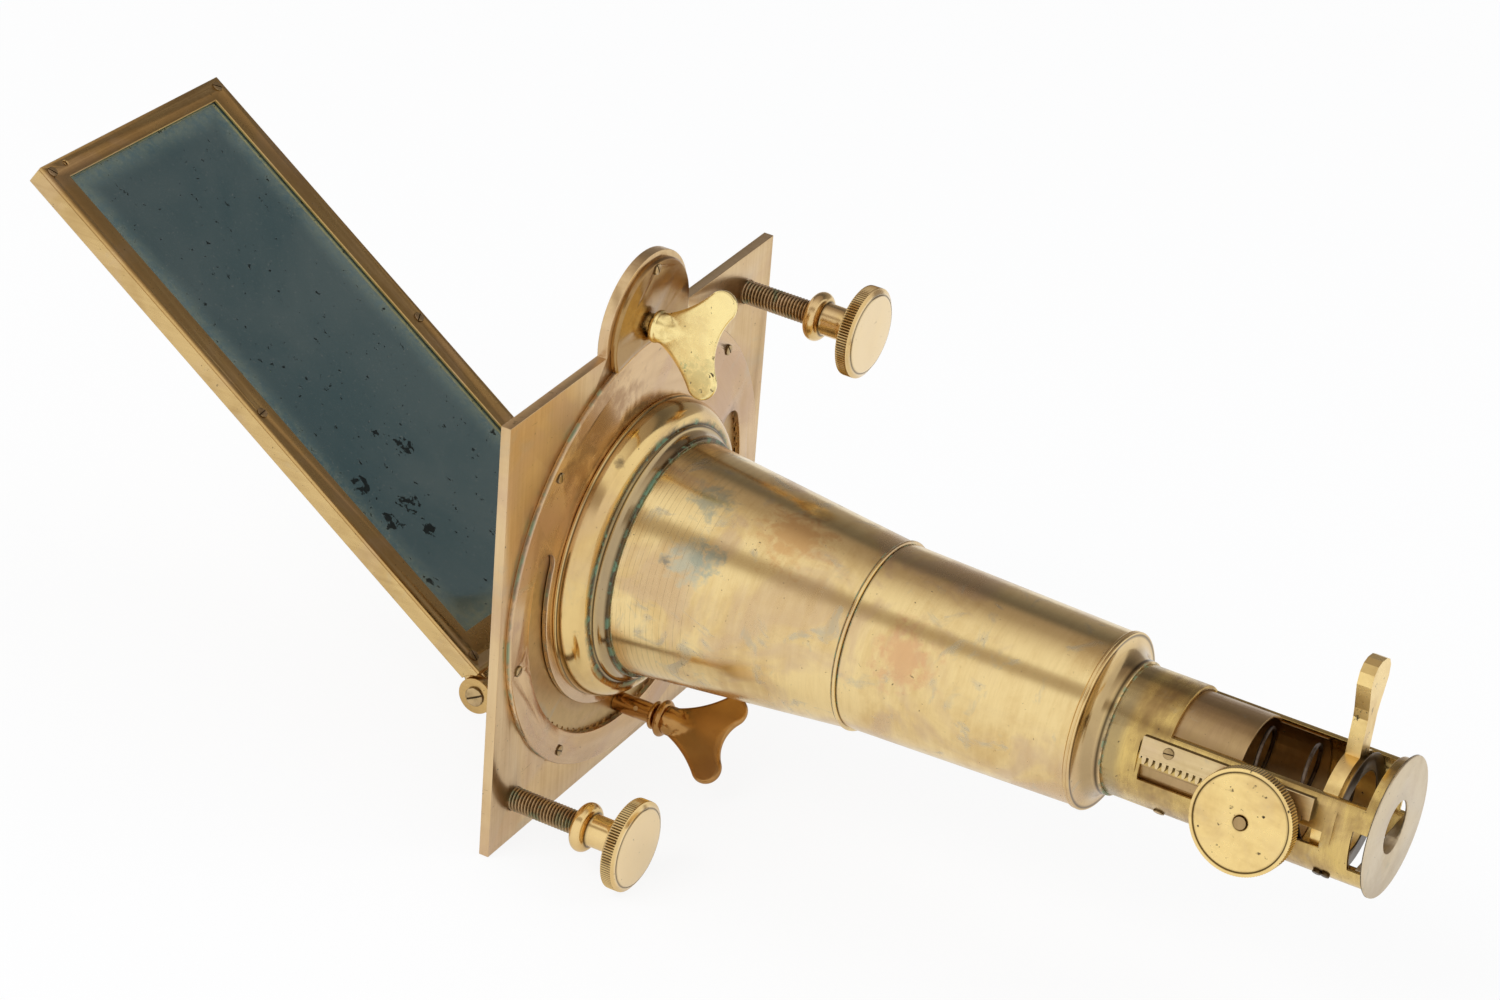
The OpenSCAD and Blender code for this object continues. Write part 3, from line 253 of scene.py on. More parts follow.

# the listed corners of each turned piece darken with grime and painted shade
for node, profile, dirtAndShade, smoothAngle in (
        ("base_moulding", mouldingProfile, moulding["dirtAndShade"], 50),
        ("lower_tube", lowerProfile, lowerTube["dirtAndShade"], 40),
        ("upper_tube", upperTube["profile"], upperTube["dirtAndShade"], 40),
        ("tube_cap", capProfile, cap["dirtAndShade"], 40)):
    grid = turnedGrid(profile, bodySides, dirtAndShade=dirtAndShade)
    meshPiece(node + "_turned", [grid], "instrument", (node,), smoothAngle)
print("turned body made")

# Clamp screws: a helical thread from x0 to x1, and a bead, neck and knurled disc turned on its end. Off is
# how far each stands from the axis, sideways and up.
clamp = {
    "off": 57.0, "pitch": 1.05, "depth": 0.6, "r": 3.55, "x0": -3.0, "x1": 30.6, "crest": 0.15, "tip": 0.7,
    "rows": 12, "threadSides": 48, "sides": 624, "knurl": ((40.0, 43.1), 13.5, 104),
    "end": [[24.6, 0.0], [24.6, 4.9]], "bead": (26.9, 5.0, 2.3, -90, 85, 22),
    "neck": [[29.3, 4.95], [29.6, 4.8], [34.8, 4.75]], "flare": (34.8, 8.9, 4.15, 180, 100, 14),
    "disc": [[39.1, 9.9], [39.3, 12.0], [39.5, 12.8], [39.75, 13.1], [39.9, 13.46], [40.1, 13.5],
             [43.0, 13.5], [43.2, 13.46], [43.35, 13.1], [43.6, 12.8], [43.9, 12.2], [44.05, 12.05],
             [44.02, 11.75], [44.15, 11.6], [44.35, 11.3], [44.5, 8.4], [44.58, 4.2], [44.6, 0.0]],
    "dirtAndShade": ((44.08, 11.8, 0.3), (29.2, 5.0, 0.5), (39.1, 10.2, 0.6))}


# Thread: radius falls by the depth along a triangle wave of place / pitch less the turn, with rounded crests,
# and tapers in at the tip; both ends close in a point on the axis
def threadGrid():
    rows = int((clamp["x1"] - clamp["x0"]) / clamp["pitch"] * clamp["rows"])
    x = np.linspace(clamp["x0"], clamp["x1"], rows + 1)[:, None]
    a = np.linspace(0, 2 * np.pi, clamp["threadSides"] + 1)
    wave = np.abs(2 * np.mod(x / clamp["pitch"] - a / (2 * np.pi), 1.0) - 1)
    wave = np.clip((wave - clamp["crest"]) / (1 - clamp["crest"]), 0, 1)
    r = np.minimum(clamp["r"] - clamp["depth"] * wave, clamp["r"] - clamp["tip"] + (x - clamp["x0"]))
    x, r, wave = [np.vstack([edge * v[:1], v, edge * v[-1:]]) for v, edge in ((x, 1), (r, 0), (wave, 1))]
    # the thread's roots darken with grime and painted shade, as the square of the wave
    return columns(x, r * np.cos(a), r * np.sin(a), wave ** 2)


# Knurling: straight grooves between two places, where the radius is that of the rim, as a cosine of the angle
def knurl(knurled, rim, ridges, deep=0.34, near=0.1):
    def ripple(x, r, a):
        band = (x > knurled[0]) * (x < knurled[1]) * (r > rim - near)
        return deep * band * (0.5 - 0.5 * np.cos(ridges * a))
    return ripple


clampProfile = np.vstack([
    clamp["end"], arc(*clamp["bead"]), clamp["neck"], arc(*clamp["flare"]), clamp["disc"]])
clampRipple = knurl(*clamp["knurl"])
for name, side in (("upper", 1), ("lower", -1)):
    place = shift(0.0, clamp["off"] * side, clamp["off"] * side)
    head = turnedGrid(clampProfile, clamp["sides"], clampRipple, place, clamp["dirtAndShade"])
    meshPiece(name + "_clamp_thread", [moved(place, threadGrid())], name + "_rod",
              (name + "_clamp_rod",), 60)
    meshPiece(name + "_clamp_knob", [head], name + "_head", (name + "_clamp_head",), 40)

# Focusing knob: a knurled rim, a narrow lip and a groove round the face; places run out along its own shaft
knob = {
    "sides": 672, "knurl": ((22.8, 26.8), 15.0, 112),
    "profile": [[22.5, 1.8], [22.5, 12.8], [22.6, 14.0], [22.7, 14.7], [22.9, 15.0], [26.7, 15.0],
                [26.85, 14.85], [26.95, 14.6], [27.0, 14.2], [27.0, 13.95], [26.75, 13.8], [26.72, 13.65],
                [26.9, 13.45], [27.02, 13.0], [27.1, 9.0], [27.12, 4.0], [27.1, 2.4], [26.8, 2.0],
                [26.6, 1.8], [22.5, 1.8]],
    "dirtAndShade": ((26.7, 13.75, 0.4), (26.7, 1.9, 0.6))}
knobRipple = knurl(*knob["knurl"])
knobGrid = turnedGrid(knob["profile"], knob["sides"], knobRipple, focusShaft, knob["dirtAndShade"])
meshPiece("focus_knob_turned", [knobGrid], "focus_key", ("focus_knob",), 40)
print("threads and knurled heads made")

# Rack: each tooth is given as (along, up) from its middle, with the gaps between the teeth cut up to gapTop
rack = {
    "x0": 174.5, "x1": 225.0, "front": -19.9, "back": -17.9, "top": 6.7, "root": 0.3, "broken": 0.15,
    "first": 176.0, "last": 222.0, "pitch": 2.0, "gap": 0.4, "gapTop": 1.07, "lean": 0.02,
    "tooth": ((-0.62, 1.07), (-0.60, 0.15), (-0.46, -0.50), (-0.26, -1.10),
              (0.26, -1.10), (0.46, -0.50), (0.60, 0.15), (0.62, 1.07))}


# Sections square to the rack's length, each a box from the teeth's outline to the top, with its front top
# edge broken; the end sections close in a point
def rackGrid(x0, x1, front, back, top, root, broken, first, last, pitch, gap, gapTop, lean, tooth):
    middle = np.arange(first, last + 0.5 * pitch, pitch)
    teeth = (middle[:, None, None] * np.array([1.0, 0.0]) + np.array(tooth)).reshape(-1, 2)
    near, far = teeth[0, 0] - gap, teeth[-1, 0] + gap
    x, low = np.vstack([
        [[x0, root], [near, root], [near + lean, gapTop]], teeth,
        [[far - lean, gapTop], [far, root], [x1, root]]]).T
    top = top + 0 * low
    y = np.array([back, front + broken, front, front, back, back])
    z = np.stack([top, top, top - broken, low, low, top])
    grid = columns(x[None, :], y[:, None], z)
    ends = [np.broadcast_to(grid[:-1, k].mean(axis=0), (len(y), 1, 4)) for k in (0, -1)]
    return np.concatenate([ends[0], grid, ends[1]], axis=1)


meshPiece("rack_cut", [moved(onRack, rackGrid(**rack))], "instrument", ("rack_bar",), 30)
print("rack made")

# Wing keys: two lobes, hollow sides and a hollow end. Thickness rounds off at the edge and swells towards the
# bead; the swelling has a radius at the stem and a least one, and dies out over its reach.
wing = {"length": 22.0, "lobe": 4.6, "notch": 18.8, "neck": 4.4, "side": 31.7, "sideFrom": 1.8, "root": -0.4,
        "half": 1.0, "edge": 0.75, "swell": 4.3, "least": 0.4, "reach": 9.5, "fade": 0.35,
        "near": (0, 0.05, 0.14, 0.28, 0.48, 0.75), "tipLean": (0.8, 1.0)}


# A curve's points spread evenly along its length
def evenly(curve, count):
    curve = curve[np.r_[True, np.linalg.norm(np.diff(curve, axis=0), axis=1) > 1e-6]]
    s = np.r_[0, np.cumsum(np.linalg.norm(np.diff(curve, axis=0), axis=1))]
    t = np.linspace(0, s[-1], count)
    return np.stack([np.interp(t, s, curve[:, 0]), np.interp(t, s, curve[:, 1])], axis=1)


# Points of a circle from one place to another, the short way round
def sweep(middle, r, first, last, steps=60):
    a = np.unwrap(np.array([np.arctan2(*(first - middle)[::-1]), np.arctan2(*(last - middle)[::-1])]))
    a = np.linspace(a[0], a[1], steps)
    return middle + r * np.stack([np.cos(a), np.sin(a)], axis=1)


# Outline of half a wing: the neck and side curve up to the lobe's tip, and the end curve from the middle to
# that tip. The three circles touch, and their middles follow from two sides and a base of a triangle.
def wingCurves(span, count=70):
    lobe = np.array([wing["length"] - wing["lobe"], span - wing["lobe"]])
    start, sideR, lobeR = np.array([wing["sideFrom"], wing["neck"]]), wing["side"], wing["lobe"]
    gap = np.linalg.norm(lobe - start)
    along = (sideR ** 2 - (sideR + lobeR) ** 2 + gap ** 2) / (2 * gap)
    e = (lobe - start) / gap
    centre = start + along * e + np.sqrt(sideR ** 2 - along ** 2) * np.array([-e[1], e[0]])
    endX = (lobe @ lobe - (lobeR - wing["notch"]) ** 2) / (2 * (lobe[0] + lobeR - wing["notch"]))
    end = np.array([endX, 0.0])
    unit = lambda v: v / np.linalg.norm(v)
    touchSide, touchEnd = lobe + lobeR * unit(centre - lobe), lobe + lobeR * unit(end - lobe)
    tip = lobe + lobeR * unit(unit(centre - lobe) + unit(end - lobe) * 0.2 + np.array(wing["tipLean"]))
    root, neck = wing["root"], wing["neck"]
    a = np.vstack([[[root, 0.0], [root, 2.0], [root, neck - 0.1], [0.6, neck]],
                   sweep(centre, sideR, start, touchSide), sweep(lobe, lobeR, touchSide, tip)])
    b = np.vstack([sweep(end, endX - wing["notch"], np.array([wing["notch"], 0.0]), touchEnd),
                   sweep(lobe, lobeR, touchEnd, tip)])
    return evenly(a, count), evenly(b, count)


# Wing surface: straight lines from one curve to the other, with points closest near both. Half thickness is
# the fourth root of a sum of fourth powers: of a quarter round of the distance to the edge, and of a swelling
# round the stem. The lines' first points are doubled at no thickness, which closes the edge.
def wingGrids(span):
    a, b = wingCurves(span)
    near = np.array(wing["near"])
    length = np.maximum(np.linalg.norm(b - a, axis=1), 1e-6)[:, None]
    low = np.minimum(near / length, 0.3 * near / wing["near"][-1])
    middle = low[:, -1:] + (1 - 2 * low[:, -1:]) * np.linspace(0, 1, 13)[None, 1:-1]
    t = np.hstack([low, middle, 1 - low[:, ::-1]])[..., None]
    flat = a[:, None] * (1 - t) + b[:, None] * t
    outline = np.vstack([a[4:], b[::-1]])
    p, q = outline[:-1], outline[1:] - outline[:-1]
    rel = flat[:, :, None] - p
    k = np.clip((rel * q).sum(-1) / np.maximum((q * q).sum(-1), 1e-12), 0, 1)
    distance = np.linalg.norm(rel - k[..., None] * q, axis=-1).min(-1)
    x, z = flat[..., 0], flat[..., 1]
    roundOff = np.sqrt(np.clip(1 - (1 - np.clip(distance / wing["edge"], 0, 1)) ** 2, 0, 1))
    slab = wing["half"] * roundOff
    fade = np.clip(x / wing["reach"], 0, 1)
    swellR = wing["swell"] * (1 - fade * fade * (3 - 2 * fade)) + wing["least"]
    swell = np.sqrt(np.clip(swellR ** 2 - z ** 2, 0, None)) * (1 - fade) ** wing["fade"] * roundOff
    half = (slab ** 4 + swell ** 4) ** 0.25
    half = np.where(x < 0, np.sqrt(np.clip((wing["neck"] - 0.1) ** 2 - z ** 2, 0, None)), half)
    x, z, half = [np.hstack([edge * v[:, :1], v]) for v, edge in ((x, 1), (z, 1), (half, 0))]
    return [columns(x, face * half, mirror * z) for mirror in (1, -1) for face in (1, -1)]


# Bead on a stem: half a turn of an arc between stem and crest
def beadProfile(x, r, width, stem=3.0):
    a = np.radians(np.arange(0, 181, 15))
    return np.stack([x - width / 2 * np.cos(a), stem + (r - stem) * np.sin(a)], axis=1)


# Keys: a stem's profile, with beads as (place, radius, width), and a wing of a span, from wingX on, turned
# about the stem
keys = {
    "turn_key": {
        "body": "turning_key", "place": shift(0.0, 0.0, 72.0), "wingX": 6.7, "turned": -22.0, "span": 15.8,
        "stem": [[0.1, 0.0], [0.1, 1.6], [0.8, 1.6], [0.8, 3.0]], "beads": ((6.7, 4.8, 2.8),),
        "end": [[8.3, 3.2], [9.0, 0.0]]},
    "tilt_key": {
        "body": "tilting_key", "place": onWorm, "wingX": 20.5, "turned": -43.0, "span": 13.7,
        "stem": [[3.1, 0.0], [3.1, 3.0], [14.9, 3.0]], "beads": ((16.2, 4.3, 1.8), (19.0, 5.6, 2.9)),
        "end": [[20.9, 3.6], [22.0, 0.0]]}}
for node, key in keys.items():
    stem = np.vstack([key["stem"]] + [beadProfile(*bead) for bead in key["beads"]] + [key["end"]])
    wingPlace = key["place"] @ turn("x", key["turned"]) @ shift(key["wingX"], 0.0, 0.0)
    grids = [turnedGrid(stem, 96, None, key["place"])] + [moved(wingPlace, g) for g in wingGrids(key["span"])]
    meshPiece(node + "_cast", grids, key["body"], (node,), 60)
print("wing keys made")

# Slotted screws: head radius and height, slot width and depth, and shank radius
screwLook = {"r": 1.6, "h": 0.6, "slot": 0.38, "deep": 0.34, "shank": 0.9}


# Head: chords side by side across the slot, each from the base over the bevelled rim. Chords at the slot's
# sides are doubled, at the top and at its floor. It follows local Y; grime and painted shade lie in the slot,
# and a painted shadow lies round the rim.
def headGrid(r, h, slot, deep):
    outer = np.array([0.25, 0.5, 0.75, 0.9, 0.97, 1])
    edge = slot / 2 / r
    side = np.concatenate([-outer[::-1], [-edge, -edge, edge, edge], outer]) * r
    floor = np.zeros((len(side), 1))
    floor[7:9] = 1
    chord = np.sqrt(np.clip(r * r - side ** 2, 0, None))[:, None]
    t = np.array([-1, -1, -0.93, -0.75, -0.4, 0, 0.4, 0.75, 0.93, 1, 1])[None, :]
    raised = np.array([0, 1, 1, 1, 1, 1, 1, 1, 1, 1, 0])[None, :]
    y = t * chord
    out = np.sqrt(side[:, None] ** 2 + y ** 2) / r
    top = h * (1 - 0.30 * np.clip(out, 0, 1) ** 6) - 0.05 * h * out ** 2
    top = np.where(floor > 0, np.minimum(top, h - deep), top)
    # the slot's floor is dark with grime and painted shade, and the outer rim 0.8 dark as a painted shadow
    return columns(side[:, None] * np.ones_like(t), y, top * raised, np.maximum(floor, 0.8 * (out > 0.96)))


# Screws of one node: each place is a matrix whose +Z leaves the surface, and each slot has a roll of its own
def screws(name, node, places, shankLength, **changes):
    look = {**screwLook, **changes}
    shank = [[0, 0], [0, look["shank"]], [shankLength, look["shank"]], [shankLength, 0]]
    grids = []
    for k, matrix in enumerate(places):
        roll = turn("z", (k * 67 + len(name) * 23) % 180)
        grids.append(moved(matrix @ roll, headGrid(look["r"], look["h"], look["slot"], look["deep"])))
        grids.append(moved(matrix @ turn("y", 90.0), turnedGrid(shank, 24)))
    meshPiece(name, grids, bodyOf[node], (node,), 40)


forward, backward, sides = turn("y", 90.0), turn("y", -90.0), (-1, 1)
screws("disc_screws", "cover_screws",
       [turn("x", a) @ shift(4.7, 62.79, 0.0) @ forward for a in (44, 136, 190, 234, 306, 350)]
       + [shift(5.0, 0.0, 89.54) @ forward], 3.0)
screws("ring_fixings", "ring_screws",
       [turn("x", a) @ shift(-1.0, 35.6, 0.0) @ backward for a in (45, 135, 225, 315)], 3.0)
screws("cock_fixings", "cock_screws",
       [onRotor @ shift(-1.5, s * 36.45, z) @ backward for s in sides for z in (-35.0, -29.6)], 3.5)
screws("yoke_fixings", "yoke_screws", [onWorm @ shift(-1.5, s * 4.0, 5.4) @ backward for s in sides], 3.5)
screws("bezel_fixings", "bezel_screws",
       [onMirror @ shift(-u, s * 40.35, 7.0) for s in sides for u in (193.4, 101.05, 8.8)],
       4.0, h=0.35, deep=0.26)
screws("sector_fixings", "sector_screws",
       [onMirror @ shift(-15.0, s * 4.0, -1.5) @ turn("x", 180.0) for s in sides], 3.0)
screws("rack_fixings", "rack_screws",
       [onRack @ shift(x, -19.9, 4.268) @ turn("x", 90.0) for x in (182.5, 217.0)], 2.8, h=0.5)
screws("sleeve_fixing", "sleeve_screw", [turn("x", 45.0) @ shift(180.0, -18.7, 0.0) @ turn("x", 90.0)], 1.2)
screws("pivot_fixings", "pivot_screws",
       [onHinge @ shift(0.0, s * 43.55, 0.0) @ turn("x", -90.0 * s) for s in sides],
       6.8, r=2.9, h=0.9, slot=0.6, deep=0.5, shank=1.7)
print("screws made")

# Stage spring: round wire along a helix whose ends lie flat for a share of the turns; the rear half lies at
# the focusing tube and the front half at the stage, though neither half is put on a body here
spring = {"r": 13.6, "wire": 0.6, "turns": 3, "x0": 186.5, "x1": 225.2, "flat": 0.05,
          "steps": 64, "sides": 12}


# Wire: circles square to the path, which climbs between the flat ends; the ends close in a point
def springGrid(first, last, r, wire, turns, x0, x1, flat, steps, sides):
    a = np.linspace(first, last, int((last - first) * steps) + 1)
    climb = np.clip((a / turns - flat) / (1 - 2 * flat), 0, 1)
    x = x0 + wire + (x1 - x0 - 2 * wire) * climb
    around = 2 * np.pi * a
    path = columns(x, r * np.cos(around), r * np.sin(around))[:, :3]
    along = np.gradient(path, axis=0)
    along /= np.linalg.norm(along, axis=1)[:, None]
    out = columns(0 * a, np.cos(around), np.sin(around))[:, :3]
    over = np.cross(along, out)
    b = np.linspace(0, 2 * np.pi, sides + 1)[None, :, None]
    tube = path[:, None] + wire * (np.cos(b) * out[:, None] + np.sin(b) * over[:, None])
    ends = [np.repeat(path[k][None, None], sides + 1, axis=1) for k in (0, -1)]
    closed = np.concatenate([ends[0], tube, ends[1]])
    return columns(*np.moveaxis(closed, -1, 0))


halfWay = spring["turns"] / 2
rearSpring = meshPiece(
    "stage_spring_rear", [springGrid(0, halfWay, **spring)], None, ("stage_spring",), 60)
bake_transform(rearSpring)
frontSpring = meshPiece(
    "stage_spring_front", [springGrid(halfWay, spring["turns"], **spring)], None)
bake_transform(frontSpring)
print("spring made")

# Broken edges: how wide the bevel is on each of these nodes, and the least angle in degrees that is an edge
brokenEdge = {"steps": 2, "angle": 38, "flatWithin": 0.5, "width": {
    "shutter_plate": 0.18, "ear_cover": 0.18, "front_disc": 0.18, "mirror_bezel": 0.3, "mirror_tray": 0.3,
    "nose_sleeve": 0.18, "end_disc": 0.3, "near_cock": 0.18, "far_cock": 0.18, "focus_tube": 0.18,
    "worm_yoke": 0.18, "retaining_ring": 0.18, "stage_disc": 0.18, "sleeve_stud": 0.18}}


# A node's own shape with its sharp edges broken: flat facets are joined, and a narrow bevel rounds the edges
def softened(node, width):
    mesh = nodes[node].data.copy()
    work = bmesh.new()
    work.from_mesh(mesh)
    bmesh.ops.remove_doubles(work, verts=work.verts, dist=joinWithin["cad"])
    flatWithin = np.radians(brokenEdge["flatWithin"])
    bmesh.ops.dissolve_limit(work, angle_limit=flatWithin, verts=work.verts, edges=work.edges)
    work.to_mesh(mesh)
    work.free()
    mesh.polygons.foreach_set("use_smooth", [True] * len(mesh.polygons))
    piece = settle(bpy.data.objects.new(node + "_soft", mesh), bodyOf[node], (node,))
    edge = piece.modifiers.new("brokenEdge", "BEVEL")
    edge.width = width * mm
    edge.segments = brokenEdge["steps"]
    edge.limit_method = "ANGLE"
    edge.angle_limit = np.radians(brokenEdge["angle"])
    edge.use_clamp_overlap = False
    edge.harden_normals = True


for node, width in brokenEdge["width"].items():
    softened(node, width)
print("edges broken")


# One socket of a node tree, with arithmetic; node() adds any node from its type, settings and sockets
class Wire:
    def __init__(self, tree, socket=None):
        self.tree = tree
        self.socket = socket

    def node(self, kind, settings=None, sockets=None, output=0):
        made = self.tree.nodes.new(kind)
        for key, value in (settings or {}).items():
            if key == "stops":
                ramp = made.color_ramp
                while len(ramp.elements) < len(value):
                    ramp.elements.new(0.5)
                for element, (place, colour) in zip(ramp.elements, value):
                    element.position = place
                    element.color = (*colour, 1)
            else:
                setattr(made, key, value)
        for key, value in (sockets or {}).items():
            if isinstance(value, Wire):
                self.tree.links.new(value.socket, made.inputs[key])
            else:
                made.inputs[key].default_value = value
        return Wire(self.tree, made.outputs[output])

    # another output of the same node
    def output(self, key):
        return Wire(self.tree, self.socket.node.outputs[key])

    def maths(self, operation, a, b=0.0, clamp=False):
        return self.node("ShaderNodeMath", {"operation": operation, "use_clamp": clamp}, {0: a, 1: b})

    def __add__(self, other):
        return self.maths("ADD", self, other)

    def __sub__(self, other):
        return self.maths("SUBTRACT", self, other)

    def __rsub__(self, other):
        return self.maths("SUBTRACT", other, self)

    def __mul__(self, other):
        return self.maths("MULTIPLY", self, other)

    def __truediv__(self, other):
        return self.maths("DIVIDE", self, other)

    __radd__ = __add__
    __rmul__ = __mul__

    # 0 below low, 1 above high, and a smooth rise between
    def between(self, low, high):
        return self.node("ShaderNodeMapRange", {"interpolation_type": "SMOOTHSTEP"},
                         {"Value": self, "From Min": low, "From Max": high})

    # 1 at a value and 0 further from it than width, with soft sides
    def band(self, value, width):
        return 1.0 - self.maths("ABSOLUTE", self - value).between(0.3 * width, width)

    # how far a place lies from a point given in millimetres
    def distance(self, point):
        there = tuple(mm * c for c in point)
        return self.node("ShaderNodeVectorMath", {"operation": "DISTANCE"}, {0: self, 1: there}, "Value")

    # how far a place lies along a direction
    def along(self, direction):
        ahead = tuple(direction)
        return self.node("ShaderNodeVectorMath", {"operation": "DOT_PRODUCT"}, {0: self, 1: ahead}, "Value")

    # noise read at a place, as one number
    def noise(self, place, scale, detail=3.0, rough=0.55, warp=0.0):
        return self.node("ShaderNodeTexNoise", None, {
            "Vector": place, "Scale": scale, "Detail": detail, "Roughness": rough, "Distortion": warp})

    def vector(self, x, y, z):
        return self.node("ShaderNodeCombineXYZ", None, {0: x, 1: y, 2: z})

    # mask 0 keeps the first colour, 1 gives the second
    def mixed(self, mask, first, second):
        a, b = [(*c, 1) if isinstance(c, tuple) else c for c in (first, second)]
        return self.node("ShaderNodeMix", {"data_type": "RGBA"}, {0: mask, 6: a, 7: b}, 2)


# An empty material with its wire, the place on the piece and its shader
def newMaterial(name):
    material = bpy.data.materials.new(name)
    material.use_nodes = True
    w = Wire(material.node_tree)
    here = w.node("ShaderNodeTexCoord", None, None, "Object")
    return material, w, here, material.node_tree.nodes["Principled BSDF"]


def plug(shader, wire, name):
    wire.tree.links.new(wire.socket, shader.inputs[name])


# What all the brass has in common; each finish changes some of it. Stain is how fine the clouds of tarnish
# are, grain how the fine lines run, and fine how close they are. Lines are turning marks and verdigris green
# salt at places along the axis, (place, width) in millimetres. Shade and tone bands are stretches of another
# colour, (place, width, colour): painted shade in the hollows of the moulding and the cap, a darker band on
# the sleeve and a paler ring on the clamp heads. Stains and reflections are (point, radius, colour): stains,
# and on the disc a painted dark reflection. What lies behind a plane, (direction, distance, colour), is
# painted shade.
# The last pairs say where a noise starts and ends to show as that mark.
brassLook = {
    "bright": (0.80, 0.59, 0.27), "brown": (0.55, 0.35, 0.14), "rose": (0.62, 0.44, 0.28),
    "grey": (0.50, 0.47, 0.36), "dark": (0.05, 0.03, 0.012), "saltBrown": (0.075, 0.065, 0.045),
    "saltGreen": (0.15, 0.29, 0.18), "stain": 24.0, "brownness": 0.6, "roseness": 0.45, "greyness": 0.5,
    "greyFrom": 0.60, "rough": 0.24, "dull": 0.10, "grain": "ring", "fine": 2400.0, "grainDepth": 0.06,
    "grainShade": 0.16, "specks": 0.7, "speckScale": 900.0, "speckFrom": 0.715, "scratches": 0.0,
    "lines": (), "verdigris": (), "bands": (), "patches": (), "behind": (),
    "brownEdge": (0.42, 0.68), "roseEdge": (0.48, 0.66), "shadeEdge": (0.35, 0.75), "speckEdge": (0.40, 0.60),
    "scratchEdge": (0.66, 0.72), "scratchPlaces": (0.5, 0.66), "lineEdge": (0.30, 0.60),
    "saltEdge": (0.40, 0.60), "saltSpots": (0.48, 0.60)}
grainAcross, grainAlong, castScale = 4.0, 30.0, 700.0  # round the axis, along an axis, and without lines


